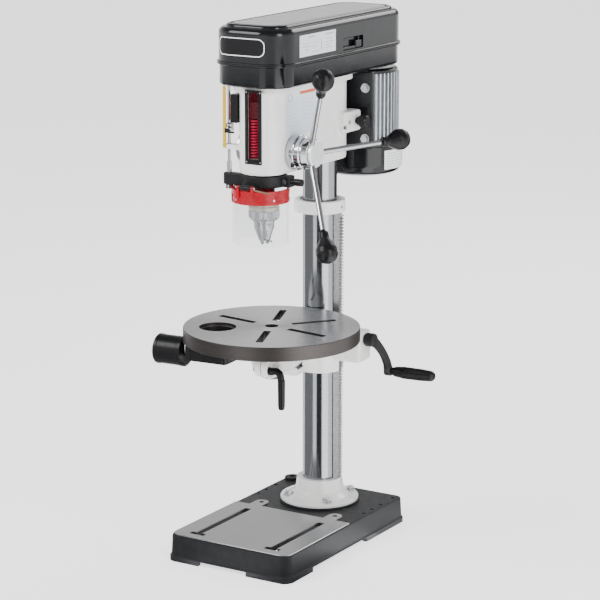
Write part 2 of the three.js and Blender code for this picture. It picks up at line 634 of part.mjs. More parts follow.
function motorRotor() {
  return turned([[0, 715], [42, 715], [42, 810], [8, 812], [8, 924], [0, 924]], 'z', [0, MOTOR_Y, 0], 16);
}

function tensionKnob() {
  return turned([[0, 46], [4.8, 46], [4.8, 59], [8, 61], [11, 66], [11, 78], [8, 81], [0, 81]], 'x', [0, 30, BAR_Z], 14);
}

// ---- feed --------------------------------------------------------------------------------
function feedShaft() {
  const halfPitch = Math.PI / FEED_TEETH;
  const pinion = prism(gearOutline(FEED_TEETH, FEED_MODULE), -PINION_HALF, PINION_HALF)
    .rotateZ(halfPitch)
    .rotateY(Math.PI / 2)
    .rotateX(Math.PI / 2)
    .translate(0, FEED_Y, FEED_Z);
  return join(pinion, rod('x', 9, -56, 62, [0, FEED_Y, FEED_Z], 16));
}

function feedHub() {
  const body = turned([[0, 42], [31, 42], [31, 56], [29, 58], [28, 68], [26, 82], [23.5, 83], [23.5, 88.5],
    [0, 88.5]], 'x', [0, FEED_Y, FEED_Z], 24);
  return cut(body, rod('x', 9 + GAP, 30, 62 + GAP, [0, FEED_Y, FEED_Z], 16));
}

function feedArmDirection(i) {
  const a = ARM_PHASE + (i * 2 * Math.PI) / 3;
  return new THREE.Vector3(Math.sin(ARM_CONE), Math.cos(ARM_CONE) * Math.sin(a), Math.cos(ARM_CONE) * Math.cos(a));
}

const FEED_CENTRE = new THREE.Vector3(74, FEED_Y, FEED_Z);
const onArm = (i, distance) =>
  FEED_CENTRE.clone().addScaledVector(feedArmDirection(i), distance).toArray();

const feedArm = (i) => bar(onArm(i, 31), onArm(i, ARM_LENGTH - 38), 5, 4.2, 10);

function feedKnob(i) {
  const knob = turned([[0, -37.5], [8, -37.5], [9, -24], [15, -14], [19, -2], [17, 11], [10, 18], [0, 20]], 'z',
    [0, 0, 0], 14);
  const turn = new THREE.Quaternion().setFromUnitVectors(new THREE.Vector3(0, 0, 1), feedArmDirection(i));
  return knob.applyQuaternion(turn).translate(...onArm(i, ARM_LENGTH));
}

// ---- quill, guard and chuck --------------------------------------------------------------
function quillTube() {
  const rackEnds = [712, 820];
  const tube = rod('z', QUILL_R, QUILL_BOTTOM, QUILL_TOP, [0, 0, 0], QUILL_SIDES);
  const flat = block([-7, 7], [QUILL_PITCH - 1.1 * FEED_MODULE, 30], rackEnds);
  const profile = rackProfile(0, QUILL_PITCH, FEED_MODULE, ...rackEnds, FEED_Z);
  const teeth = prism(profile, -7, 7).rotateX(Math.PI / 2).rotateZ(Math.PI / 2);
  const body = join(cut(tube, flat), common(teeth, tube));
  return cut(body, rod('z', 12.5, 600, 900, [0, 0, 0], 20)).translate(0, -THROAT, 0);
}

function quillBracket() {
  const z = [667.5, 688.5];
  const body = join(
    rod('z', 40, ...z, [0, -THROAT, 0], 24),
    prism(roundedRect(ROD_X - 10, ROD_Y - 9, -20, ROD_Y + 9, 7), ...z, 4),
    block([30, 54], [-THROAT - 2, -THROAT + 16], z),
    block([-11, 11], [HINGE_Y, -THROAT - 30], [HINGE_Z - 4, HINGE_Z + 4]),
    rod('x', 4, -11, 11, [0, HINGE_Y, HINGE_Z], 12),
    rod('x', 2.2, -19, 19, [0, HINGE_Y, HINGE_Z], 10),
  );
  return cut(
    body,
    rod('z', QUILL_R + GAP, 600, 700, [0, -THROAT, 0], QUILL_SIDES),
    rod('z', 4.5, 600, 700, [ROD_X, ROD_Y, 0], 12),
    block([15, 60], [-THROAT + 6, -THROAT + 8], [600, 700]),
  );
}

function depthRod() {
  return turned([[0, 660], [7, 660], [7, 667], [4.2, 667], [4.2, 840], [3, 842], [0, 842]], 'z', [ROD_X, ROD_Y, 0], 16);
}

function depthCollar() {
  const body = ring('z', 4.5, 8.2, 761, 774, [ROD_X, ROD_Y, 0], 20);
  return join(body, block([ROD_X + 1, -41], [ROD_Y - 11, ROD_Y - 7.6], [758, 762]),
    block([ROD_X - 3, ROD_X + 3], [ROD_Y - 11, ROD_Y - 6], [758, 766]));
}

// A C-shaped band that is open towards the column.
function openBand(inner, outer, from, to, openHalfAngle) {
  const shape = new THREE.Shape();
  const start = Math.PI / 2 + openHalfAngle;
  const end = 2.5 * Math.PI - openHalfAngle;
  shape.absarc(0, 0, outer, start, end, false);
  shape.absarc(0, 0, inner, end, start, true);
  return prism(shape, from, to, 14).translate(0, GUARD_Y, 0);
}

const GUARD_OPEN = THREE.MathUtils.degToRad(40);

function guardRing() {
  const band = openBand(GUARD_R - 3.5, GUARD_R, 642, GUARD_TOP, GUARD_OPEN);
  const ears = [-1, 1].map((side) =>
    join(
      block(side > 0 ? [11.5, 17] : [-17, -11.5], [HINGE_Y - 3.5, HINGE_Y + 3.5], [655, HINGE_Z]),
      rod('x', 3.5, side > 0 ? 11.5 : -17, side > 0 ? 17 : -11.5, [0, HINGE_Y, HINGE_Z], 12),
    ),
  );
  return cut(join(band, ...ears), rod('x', 2.5, -30, 30, [0, HINGE_Y, HINGE_Z], 12));
}

const guardShield = () => openBand(GUARD_R - 3.3, GUARD_R - 1.1, SHIELD_BOTTOM, 642 - GAP, GUARD_OPEN);

const oscillatorBlock = () => block([WINDOW_X - 9, WINDOW_X + 9], [-THROAT - 39.8, -THROAT - 21.5], [788, 816]);

const oscillatorSpring = () =>
  ring('z', 6, 9, 719, 788 - GAP, [WINDOW_X, -THROAT - 30.6, 0], 20);

const bearingSleeve = () => ring('z', 9.3, 12.2, 664, 690, [0, -THROAT, 0], 24);

function spindle() {
  return turned([[0, 625], [7.5, 625], [8.5, 647], [9, 648], [9, SPINDLE_TOP], [0, SPINDLE_TOP]], 'z', [0, -THROAT, 0], 20);
}

const JAW_LEAN = THREE.MathUtils.degToRad(16);
const JAW_TIP = 564;
const JAW_TOP = 598;
function jawAxisPoint(i, z) {
  const a = (i * 2 * Math.PI) / 3 - Math.PI / 2;
  const r = 4.8 + (z - JAW_TIP) * Math.tan(JAW_LEAN);
  return [r * Math.cos(a), -THROAT + r * Math.sin(a), z];
}

function chuckBody() {
  const body = turned([[0, 571], [12.5, 571], [20, 600], [21.5, 606], [21.5, 640], [16, 644], [9, 644], [9, 623],
    [0, 623]], 'z', [0, -THROAT, 0], 20);
  const bores = [0, 1, 2].map((i) => bar(jawAxisPoint(i, 540), jawAxisPoint(i, 610), 4.2, 4.2, 10));
  return cut(body, rod('z', 5.5, 560, 605, [0, -THROAT, 0], 12), ...bores);
}

function chuckSleeve() {
  return ring('z', 22, 27.2, 608, 632, [0, -THROAT, 0], 24);
}

const chuckJaw = (i) => bar(jawAxisPoint(i, JAW_TIP), jawAxisPoint(i, JAW_TOP), 3.6, 3.6, 10);

// ---- assembly ----------------------------------------------------------------------------
node('base_casting', baseCasting(), FINISH.baseBlack);
node('column_flange', columnFlange(), FINISH.white);
flangeBoltPlaces.forEach((place, i) => node(`flange_bolt_${i + 1}`, flangeBolt(place), FINISH.zinc));
node('column_tube', ring('z', 27, COLUMN_R, COLUMN_BOTTOM, COLUMN_TOP, [0, 0, 0], COLUMN_SIDES), FINISH.steel);
node('rack_collar', rackCollar(), FINISH.white);

node('lift_rack', liftRack(), FINISH.steel, tableArm);
node('table_arm', tableArmCasting(), FINISH.white, tableArm);
node('lift_gear', liftGear(), FINISH.darkSteel, tableArm);
node('crank_worm', crankWorm(), FINISH.darkSteel, tableArm);
node('crank_arm', crankArm(), FINISH.phenolic, tableArm);
node('crank_grip', crankGrip(), FINISH.phenolic, tableArm);
node('column_lock_lever', columnLockLever(), FINISH.phenolic, tableArm);
node('tilt_bracket', tiltBracket(), FINISH.white, tableArm);
node('table_lock_lever', tableLockLever(), FINISH.phenolic, tableArm);
node('table_disc', tableDisc(), FINISH.iron, tableArm);
node('dust_chute', dustChute(), FINISH.phenolic, tableArm);
node('dust_port', dustPort(), FINISH.phenolic, tableArm);

node('head_casting', headCasting(), FINISH.white);
node('window_frame', windowFrame(), FINISH.baseBlack);
node('switch_box', switchBox(), FINISH.phenolic);
node('switch_paddle', switchPaddle(), FINISH.red);
node('spring_housing', springHousing(), FINISH.zinc);
node('case_tray', caseTray(), FINISH.blackPaint);
node('case_lid', caseLid(), FINISH.blackPaint);

node('spindle_pulley', steppedPulley(GROOVES.spindle, -THROAT, DRIVE_SLEEVE), FINISH.aluminium);
node('idler_pulley', steppedPulley(GROOVES.idler, IDLER_Y, PLAIN_BORE), FINISH.aluminium);
node('motor_pulley', steppedPulley(GROOVES.motor, MOTOR_Y, PLAIN_BORE), FINISH.aluminium);
node('front_belt', beltLoop(1, -THROAT, GROOVES.spindle[1], IDLER_Y, GROOVES.idler[1]), FINISH.belt);
node('rear_belt', beltLoop(2, IDLER_Y, GROOVES.idler[2], MOTOR_Y, GROOVES.motor[2]), FINISH.belt);

node('motor_plate', motorPlate(), FINISH.blackPaint);
node('motor_housing', motorHousing(), FINISH.aluminium);
node('motor_end_bell', motorBell(), FINISH.blackPaint);
node('motor_rotor', motorRotor(), FINISH.darkSteel);
node('tension_knob', tensionKnob(), FINISH.phenolic);

node('feed_shaft', feedShaft(), FINISH.darkSteel);
node('feed_hub', feedHub(), FINISH.chrome);
for (let i = 0; i < 3; i++) {
  node(`feed_arm_${i + 1}`, feedArm(i), FINISH.chrome);
  node(`feed_knob_${i + 1}`, feedKnob(i), FINISH.phenolic);
}

node('quill_tube', quillTube(), FINISH.steel);
node('quill_bracket', quillBracket(), FINISH.phenolic);
node('depth_rod', depthRod(), FINISH.yellowZinc);
node('depth_collar', depthCollar(), FINISH.zinc);
node('guard_ring', guardRing(), FINISH.red);
node('guard_shield', guardShield(), FINISH.clear);
node('oscillator_block', oscillatorBlock(), FINISH.red);
node('oscillator_spring', oscillatorSpring(), FINISH.red);
node('bearing_sleeve', bearingSleeve(), FINISH.darkSteel);
node('spindle', spindle(), FINISH.steel);
node('chuck_body', chuckBody(), FINISH.steel);
node('chuck_sleeve', chuckSleeve(), FINISH.steel);
for (let i = 0; i < 3; i++) node(`chuck_jaw_${i + 1}`, chuckJaw(i), FINISH.steel);

// The row's origin is the middle of the machine's footprint, on the bench.
const size = new THREE.Box3().setFromObject(press, true);
const machine = new THREE.Group();
press.position.set(-(size.min.x + size.max.x) / 2, -(size.min.y + size.max.y) / 2, 0);
machine.add(press);

export default machine;
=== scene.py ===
"""Looks for the bench drill press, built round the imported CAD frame.

Shapes are made in millimetres in the machine's own frame: the column axis is x = y = 0, the floor is z = 0,
the front is -Y and the feed handles are on +X. `MACHINE` takes them into the row's frame. The table group is
drawn square to the machine, and `TABLE_ARM` swings it round the column to its place at rest.
"""
import json
import math

import bmesh
import bpy
from mathutils import Matrix, Vector


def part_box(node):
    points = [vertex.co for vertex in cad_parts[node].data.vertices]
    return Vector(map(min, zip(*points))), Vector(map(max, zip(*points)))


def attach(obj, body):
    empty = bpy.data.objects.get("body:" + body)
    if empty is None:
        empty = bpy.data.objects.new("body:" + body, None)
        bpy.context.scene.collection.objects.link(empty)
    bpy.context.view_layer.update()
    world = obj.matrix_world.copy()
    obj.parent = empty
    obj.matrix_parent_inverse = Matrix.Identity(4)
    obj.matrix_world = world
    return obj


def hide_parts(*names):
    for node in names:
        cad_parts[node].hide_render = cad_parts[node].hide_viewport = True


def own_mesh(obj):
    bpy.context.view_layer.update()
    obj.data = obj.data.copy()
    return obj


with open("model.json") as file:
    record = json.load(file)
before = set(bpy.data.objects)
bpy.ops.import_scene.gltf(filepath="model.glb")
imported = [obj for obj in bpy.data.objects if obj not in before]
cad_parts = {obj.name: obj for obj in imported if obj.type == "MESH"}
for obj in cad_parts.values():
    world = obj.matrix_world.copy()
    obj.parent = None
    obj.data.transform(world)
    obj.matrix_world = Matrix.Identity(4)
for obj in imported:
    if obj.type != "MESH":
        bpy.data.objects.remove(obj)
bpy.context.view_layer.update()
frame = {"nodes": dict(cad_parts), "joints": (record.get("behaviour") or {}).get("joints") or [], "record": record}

# ---- places, from the frame ---------------------------------------------------------------
MM = 0.001
JOINTS = {joint["name"]: joint for joint in frame["joints"]}


def centre(node):
    low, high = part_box(node)
    return (Vector(low) + Vector(high)) / 2


COLUMN = centre("column_tube")
TABLE_PIVOT = Vector(JOINTS["table_turn"]["pos_m"])
SWING = math.atan2(TABLE_PIVOT.x - COLUMN.x, COLUMN.y - TABLE_PIVOT.y)
MACHINE = Matrix.Translation((COLUMN.x, COLUMN.y, 0)) @ Matrix.Scale(MM, 4)
TABLE_ARM = MACHINE @ Matrix.Rotation(SWING, 4, "Z")


def machine_point(point, place=MACHINE):
    """A point of the row's frame in the machine's own millimetres, or in the table group's."""
    return place.inverted() @ Vector(point)


def machine_box(node):
    low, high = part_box(node)
    return machine_point(low), machine_point(high)


def joint_point(joint, place=MACHINE):
    return machine_point(JOINTS[joint]["pos_m"], place)


THROAT = -joint_point("spindle_spin").y
FEED = joint_point("feed_turn")
FEED_AXIS = (0, FEED.y, FEED.z)
MOTOR = joint_point("motor_spin")
HINGE = joint_point("guard_swing")
GUARD_PIN = (0, HINGE.y, HINGE.z)
LID_HINGE = joint_point("lid_open")
IDLER = joint_point("idler_spin")
IDLER_AT = (0, IDLER.y, 0)
SPIN = Vector((0, -THROAT, 0))

# ---- camera, floor and light --------------------------------------------------------------
CAMERA_AZIMUTH = math.radians(31.54)
CAMERA_PITCH = math.radians(13.22)
CAMERA_AT = (2156.07, -3581.65, 1408.19)
SENSOR_WIDTH, LENS, FARTHEST = 36, 141.83, 50
# Each soft light's name, place, aim, size and power.
LIGHTS = (("key", (-1.6, -2.2, 2.6), (0, 0, 0.5), (1.6, 1.6), 75),
          ("fill", (2.8, -1.2, 1.8), (0, 0, 0.5), (0.9, 2.2), 50),
          ("rim", (0.6, 2.6, 2.4), (0, 0, 0.6), (2.0, 1.0), 40))
FLOOR_HALF = 40
FLOOR_GREY, FLOOR_ROUGHNESS, FLOOR_SPECULAR, FLOOR_GLOW = 0.93, 0.9, 0.1, 1.5
# The world is bright below SKY_LOW and dim above SKY_HIGH, both heights on the unit sphere.
WORLD_BRIGHT, WORLD_DIM = 1.5, 0.35
SKY_LOW, SKY_HIGH = 0.12, 0.6
# Dark panels round the studio: degrees from the camera, inner and outer half-width, brightness.
DARK_PANELS = ((6, 9, 22, 0.06), (-75, 10, 24, 0.3), (150, 12, 30, 0.25))
# Cards on the floor round the column: name, first and last degree from the camera, brightness.
CARDS = (("card_front", -22, 14, 0.08), ("card_bright", 18, 58, 4.5), ("card_right", 110, 160, 0.1),
         ("card_left", -125, -46, 0.5), ("card_back", -172, -150, 0.15))
CARD_REACH, CARD_HEIGHT, CARD_STEPS = (0.12, 6.0), 0.0004, 8


def linked(name, mesh):
    thing = bpy.data.objects.new(name, mesh)
    bpy.context.collection.objects.link(thing)
    return thing


def add_camera():
    data = bpy.data.cameras.new("camera")
    data.sensor_width = SENSOR_WIDTH
    data.lens = LENS
    data.clip_end = FARTHEST
    camera = linked("camera", data)
    camera.location = MACHINE @ Vector(CAMERA_AT)
    camera.rotation_euler = (math.pi / 2 - CAMERA_PITCH, 0, CAMERA_AZIMUTH)
    bpy.context.scene.camera = camera


def area_light(name, at, aim, size, power):
    data = bpy.data.lights.new(name, "AREA")
    data.shape = "RECTANGLE"
    data.size, data.size_y = size
    data.energy = power
    lamp = linked(name, data)
    lamp.location = at
    lamp.rotation_euler = (Vector(aim) - Vector(at)).to_track_quat("-Z", "Y").to_euler()


def glowing_sheet(name, bm, grey, roughness, specular, glow):
    """A sheet that belongs to the studio and gives off a plain white light."""
    mesh = bpy.data.meshes.new(name)
    bm.to_mesh(mesh)
    bm.free()
    sheet = linked(name, mesh)
    material = bpy.data.materials.new(name)
    material.use_nodes = True
    shader = material.node_tree.nodes["Principled BSDF"]
    shader.inputs["Base Color"].default_value = (grey, grey, grey, 1)
    shader.inputs["Roughness"].default_value = roughness
    shader.inputs["Specular IOR Level"].default_value = specular
    shader.inputs["Emission Color"].default_value = (1, 1, 1, 1)
    shader.inputs["Emission Strength"].default_value = glow
    mesh.materials.append(material)
    return sheet


def add_floor():
    bm = bmesh.new()
    bmesh.ops.create_grid(bm, x_segments=1, y_segments=1, size=FLOOR_HALF)
    glowing_sheet("floor", bm, FLOOR_GREY, FLOOR_ROUGHNESS, FLOOR_SPECULAR, FLOOR_GLOW)


def floor_card(name, start, end, glow):
    """A wedge of card round the column, out of the camera's sight, that the polished steel reflects."""
    bm = bmesh.new()
    rings = []
    for distance in CARD_REACH:
        angles = [CAMERA_AZIMUTH + math.radians(start + (end - start) * k / CARD_STEPS)
                  for k in range(CARD_STEPS + 1)]
        places = [(COLUMN.x + distance * math.sin(a), COLUMN.y - distance * math.cos(a), CARD_HEIGHT)
                  for a in angles]
        rings.append([bm.verts.new(place) for place in places])
    near, far = rings
    for k in range(CARD_STEPS):
        bm.faces.new((near[k], near[k + 1], far[k + 1], far[k]))
    card = glowing_sheet(name, bm, 0.0, 0.5, 0.0, glow)
    card.visible_camera = card.visible_diffuse = card.visible_shadow = card.visible_transmission = False


def ramp_by(nodes, links, value, low, high, at_low, at_high):
    ramp = nodes.new("ShaderNodeMapRange")
    ramp.interpolation_type = "SMOOTHSTEP"
    for name, number in (("From Min", low), ("From Max", high), ("To Min", at_low), ("To Max", at_high)):
        ramp.inputs[name].default_value = number
    links.new(value, ramp.inputs["Value"])
    return ramp.outputs["Result"]


def add_world():
    """A white studio with a dim ceiling and dark panels round it, for contrast in the polished steel."""
    world = bpy.data.worlds.new("studio")
    world.use_nodes = True
    bpy.context.scene.world = world
    nodes, links = world.node_tree.nodes, world.node_tree.links
    place = nodes.new("ShaderNodeTexCoord")
    parts = nodes.new("ShaderNodeSeparateXYZ")
    links.new(place.outputs["Generated"], parts.inputs["Vector"])
    level = ramp_by(nodes, links, parts.outputs["Z"], SKY_LOW, SKY_HIGH, WORLD_BRIGHT, WORLD_DIM)
    for azimuth, narrow, wide, dim in DARK_PANELS:
        angle = CAMERA_AZIMUTH + math.radians(azimuth)
        toward = nodes.new("ShaderNodeVectorMath")
        toward.operation = "DOT_PRODUCT"
        toward.inputs[1].default_value = (math.sin(angle), -math.cos(angle), 0)
        links.new(place.outputs["Generated"], toward.inputs[0])
        shade = ramp_by(nodes, links, toward.outputs["Value"], math.cos(math.radians(wide)),
                        math.cos(math.radians(narrow)), 1.0, dim)
        product = nodes.new("ShaderNodeMath")
        product.operation = "MULTIPLY"
        links.new(level, product.inputs[0])
        links.new(shade, product.inputs[1])
        level = product.outputs["Value"]
    background = nodes["Background"]
    background.inputs["Color"].default_value = (1, 1, 1, 1)
    links.new(level, background.inputs["Strength"])


add_camera()
add_floor()
add_world()
for light in LIGHTS:
    area_light(*light)
for card in CARDS:
    floor_card(*card)


# ---- materials ----------------------------------------------------------------------------
COAT_ROUGHNESS = 0.06
LEAST_ROUGHNESS = 0.02
RELIEF_DEPTH = 0.0006
# The octaves of a finish's two noises, and where the ends of its colour ramp lie.
GRAIN_DETAIL, RELIEF_DETAIL = 5.0, 3.0
TONE_ENDS = (0.3, 0.7)
# Where edge wear starts and is complete, on Blender's pointiness, and how much paint is gone there.
WEAR_START, WEAR_FULL, WEAR_MOST = 0.53, 0.62, 0.45
# Lathe rings on the table face: noise scale, and the roughness between which they vary.
RING_SCALE, RING_SHARP, RING_DULL = 700.0, 0.2, 0.44
CLEAR_IOR, CLEAR_ROUGHNESS = 1.45, 0.05


def noise_by(nodes, links, vector, scale, detail):
    noise = nodes.new("ShaderNodeTexNoise")
    noise.inputs["Scale"].default_value = scale
    noise.inputs["Detail"].default_value = detail
    links.new(vector, noise.inputs["Vector"])
    return noise.outputs["Fac"]


def make_look(name, color, roughness, metallic=0.0, coat=0.0, grain=60, tone=0.06,
              spread=0.08, bump=0.0, bump_scale=900, edge=None, anisotropic=0.0, specular=0.5):
    """A finish whose colour and roughness vary with noise, with fine relief from a second noise.

    The noise is even where `grain` is one number, and stretched where it is one for each axis.
    """
    look = bpy.data.materials.new(name)
    look.use_nodes = True
    nodes, links = look.node_tree.nodes, look.node_tree.links
    shader = nodes["Principled BSDF"]
    shader.inputs["Metallic"].default_value = metallic
    shader.inputs["Specular IOR Level"].default_value = specular
    shader.inputs["Coat Weight"].default_value = coat
    shader.inputs["Coat Roughness"].default_value = COAT_ROUGHNESS
    shader.inputs["Anisotropic"].default_value = anisotropic
    place = nodes.new("ShaderNodeTexCoord")
    stretch = nodes.new("ShaderNodeMapping")
    stretch.inputs["Scale"].default_value = grain if isinstance(grain, tuple) else (grain, grain, grain)
    links.new(place.outputs["Object"], stretch.inputs["Vector"])
    noise = noise_by(nodes, links, stretch.outputs["Vector"], 1.0, GRAIN_DETAIL)
    shade = nodes.new("ShaderNodeValToRGB")
    for element, factor, at in zip(shade.color_ramp.elements, (1 - tone, 1 + tone), TONE_ENDS):
        element.position = at
        element.color = (*(min(1, channel * factor) for channel in color), 1)
    links.new(noise, shade.inputs["Fac"])
    paint = shade.outputs["Color"]
    if edge:
        paint = edge_wear(nodes, links, paint, edge)
    links.new(paint, shader.inputs["Base Color"])
    gloss = nodes.new("ShaderNodeMapRange")
    gloss.inputs["To Min"].default_value = max(LEAST_ROUGHNESS, roughness - spread)
    gloss.inputs["To Max"].default_value = min(1, roughness + spread)
    links.new(noise, gloss.inputs["Value"])
    links.new(gloss.outputs["Result"], shader.inputs["Roughness"])
    if bump:
        relief = nodes.new("ShaderNodeBump")
        relief.inputs["Strength"].default_value = bump
        relief.inputs["Distance"].default_value = RELIEF_DEPTH
        pits = noise_by(nodes, links, place.outputs["Object"], bump_scale, RELIEF_DETAIL)
        links.new(pits, relief.inputs["Height"])
        links.new(relief.outputs["Normal"], shader.inputs["Normal"])
    return look


def edge_wear(nodes, links, paint, color):
    """Lightens the paint along sharp outer edges, where hands and tools rub it."""
    geometry = nodes.new("ShaderNodeNewGeometry")
    worn = nodes.new("ShaderNodeMapRange")
    worn.inputs["From Min"].default_value = WEAR_START
    worn.inputs["From Max"].default_value = WEAR_FULL
    worn.inputs["To Max"].default_value = WEAR_MOST
    links.new(geometry.outputs["Pointiness"], worn.inputs["Value"])
    mix = nodes.new("ShaderNodeMix")
    mix.data_type = "RGBA"
    links.new(worn.outputs["Result"], mix.inputs["Factor"])
    links.new(paint, mix.inputs["A"])
    mix.inputs["B"].default_value = (*color, 1)
    return mix.outputs["Result"]


def turned_marks(look, at):
    """Varies a finish's gloss in fine lathe rings about a vertical axis through `at`."""
    nodes, links = look.node_tree.nodes, look.node_tree.links
    place = nodes.new("ShaderNodeTexCoord")
    steps = []
    for operation, operand in (("SUBTRACT", at), ("MULTIPLY", (1, 1, 0)), ("LENGTH", None)):
        step = nodes.new("ShaderNodeVectorMath")
        step.operation = operation
        if operand is not None:
            step.inputs[1].default_value = operand
        links.new(steps[-1].outputs["Vector"] if steps else place.outputs["Object"], step.inputs[0])
        steps.append(step)
    rings = nodes.new("ShaderNodeTexNoise")
    rings.noise_dimensions = "1D"
    rings.inputs["Scale"].default_value = RING_SCALE
    rings.inputs["Detail"].default_value = 2.0
    links.new(steps[-1].outputs["Value"], rings.inputs["W"])
    gloss = nodes.new("ShaderNodeMapRange")
    gloss.inputs["To Min"].default_value = RING_SHARP
    gloss.inputs["To Max"].default_value = RING_DULL
    links.new(rings.outputs["Fac"], gloss.inputs["Value"])
    links.new(gloss.outputs["Result"], nodes["Principled BSDF"].inputs["Roughness"])
    return look


def clear_look(name, color, opacity):
    """Thin clear plastic: mostly see-through, with a plain gloss."""
    look = make_look(name, color, CLEAR_ROUGHNESS, grain=30, tone=0.01, spread=0.02)
    shader = look.node_tree.nodes["Principled BSDF"]
    shader.inputs["Alpha"].default_value = opacity
    shader.inputs["IOR"].default_value = CLEAR_IOR
    return look


WHITE = make_look("white_enamel", (0.88, 0.875, 0.86), 0.3, coat=0.5, grain=25, tone=0.025,
                  bump=0.05, bump_scale=260, edge=(0.9, 0.9, 0.88))
BLACK = make_look("black_enamel", (0.004, 0.0045, 0.006), 0.14, grain=40, tone=0.25, specular=0.38,
                  bump=0.04, bump_scale=350, edge=(0.03, 0.032, 0.035))
BASE = make_look("base_enamel", (0.011, 0.012, 0.014), 0.45, grain=90, tone=0.2, specular=0.2,
                 bump=0.35, bump_scale=1400, edge=(0.06, 0.06, 0.065))
GROUND = make_look("ground_iron", (0.44, 0.44, 0.445), 0.36, metallic=1.0, grain=(14, 700, 60), tone=0.1,
                   spread=0.1, bump=0.05, bump_scale=1200)
TABLE_FACE = turned_marks(make_look("table_face", (0.42, 0.42, 0.43), 0.3, metallic=1.0, grain=90,
                                    tone=0.07, anisotropic=0.6), TABLE_PIVOT)
# The table's rim and side faces: a far darker colour than its face, painted shade on the sides.
TABLE_RIM_SHADE = make_look("table_rim_painted_shade", (0.075, 0.068, 0.066), 0.45, metallic=1.0, grain=(20, 20, 2500), tone=0.2,
                      spread=0.1, bump=0.06)
COLUMN_STEEL = make_look("column_steel", (0.27, 0.28, 0.295), 0.14, metallic=1.0, grain=(40, 40, 2200),
                         tone=0.09, spread=0.04)
RACK_STEEL = make_look("rack_steel", (0.56, 0.56, 0.57), 0.34, metallic=1.0, grain=300, tone=0.2)
DARK_STEEL = make_look("dark_steel", (0.13, 0.13, 0.14), 0.35, metallic=1.0, grain=400, tone=0.2)
CHUCK_STEEL = make_look("chuck_steel", (0.29, 0.295, 0.31), 0.16, metallic=1.0, grain=(60, 60, 1800),
                        tone=0.12)
CHROME = make_look("chrome", (0.52, 0.53, 0.55), 0.09, metallic=1.0, grain=80, tone=0.04,
                   spread=0.03)
ZINC = make_look("zinc", (0.62, 0.64, 0.67), 0.3, metallic=1.0, grain=500, tone=0.12, bump=0.08)
YELLOW = make_look("yellow_scale", (0.66, 0.40, 0.02), 0.4, grain=(200, 200, 30), tone=0.08, specular=0.3)
PLASTIC = make_look("black_plastic", (0.006, 0.006, 0.007), 0.3, grain=200, tone=0.2,
                    specular=0.22, bump=0.1, bump_scale=1800, edge=(0.025, 0.025, 0.028))
CRANK_BLACK = make_look("crank_black", (0.012, 0.0115, 0.013), 0.45, grain=300, tone=0.25,
                        specular=0.22, bump=0.22, bump_scale=2200, edge=(0.05, 0.05, 0.05))
RED = make_look("red_plastic", (0.37, 0.001, 0.010), 0.28, grain=90, tone=0.08, bump=0.06,
                specular=0.3)
RED_DARK = make_look("dark_red_plastic", (0.055, 0.001, 0.004), 0.4, grain=120, tone=0.2,
                     specular=0.3)
ALLOY = make_look("cast_alloy", (0.50, 0.52, 0.54), 0.42, metallic=1.0, grain=120, tone=0.12,
                  bump=0.18, bump_scale=900)
RUBBER = make_look("belt_rubber", (0.018, 0.018, 0.018), 0.8, grain=(200, 200, 800), tone=0.3, bump=0.3)
LABEL = make_look("label_paper", (0.72, 0.76, 0.80), 0.35, coat=0.3, grain=20, tone=0.03)
LABEL_WHITE = make_look("label_white", (0.86, 0.87, 0.88), 0.3, coat=0.4, grain=20, tone=0.02)
PRINT_GREY = make_look("print_grey", (0.34, 0.36, 0.40), 0.5, grain=50, tone=0.1)
PRINT_ORANGE = make_look("print_orange", (0.60, 0.09, 0.025), 0.45, grain=50, tone=0.05)
RED_COIL = make_look("red_coil", (0.56, 0.006, 0.05), 0.3, coat=0.2, grain=90, tone=0.1)
BRIGHT = make_look("bright_face", (0.86, 0.87, 0.88), 0.32, metallic=0.55, grain=60, tone=0.03)
PLATE_BLACK = make_look("plate_black", (0.008, 0.008, 0.009), 0.4, grain=60, tone=0.1, specular=0.2)
LABEL_PALE = make_look("label_pale", (0.70, 0.76, 0.83), 0.35, coat=0.3, grain=20, tone=0.03)
PRINT_PALE = make_look("print_pale", (0.50, 0.56, 0.66), 0.5, grain=50, tone=0.08)
# Dark sheets down the sides of the window's recess: painted shade.
RECESS_SIDE_SHADE = make_look("window_side_shade", (0.03, 0.004, 0.008), 0.5, grain=60, tone=0.1)
STRAP = make_look("strap_brass", (0.36, 0.30, 0.19), 0.35, metallic=0.9, grain=300, tone=0.15)
CLEAR = clear_look("clear_plastic", (0.74, 0.78, 0.81), 0.14)
PANE = clear_look("window_pane", (0.12, 0.004, 0.012), 0.14)


# ---- mesh tools (millimetres in the machine's frame) --------------------------------------
AXES = {
    "z": Matrix.Identity(4),
    "x": Matrix.Rotation(math.pi / 2, 4, "Y"),
    "y": Matrix.Rotation(-math.pi / 2, 4, "X"),
}
ORIGIN = (0, 0, 0)
ON_AXIS = 0.001
# The most of an outline's edge that one rounded corner may take.
CORNER_SHARE = 0.49
# A casting's smoothing, the share of its faces that are kept, and how much large faces steer the shading.
FILLET_FACTOR, KEPT_FACES, FLAT_WEIGHT = 0.5, 0.35, 80
# A face whose normal rises more than this takes the first of a piece's two looks; the others take the second,
# whose darker colour on the table's rim is painted shade.
FACES_UP = 0.9


def to_object(bm):
    mesh = bpy.data.meshes.new("shape")
    bmesh.ops.recalc_face_normals(bm, faces=bm.faces)
    bm.to_mesh(mesh)
    bm.free()
    return linked("shape", mesh)


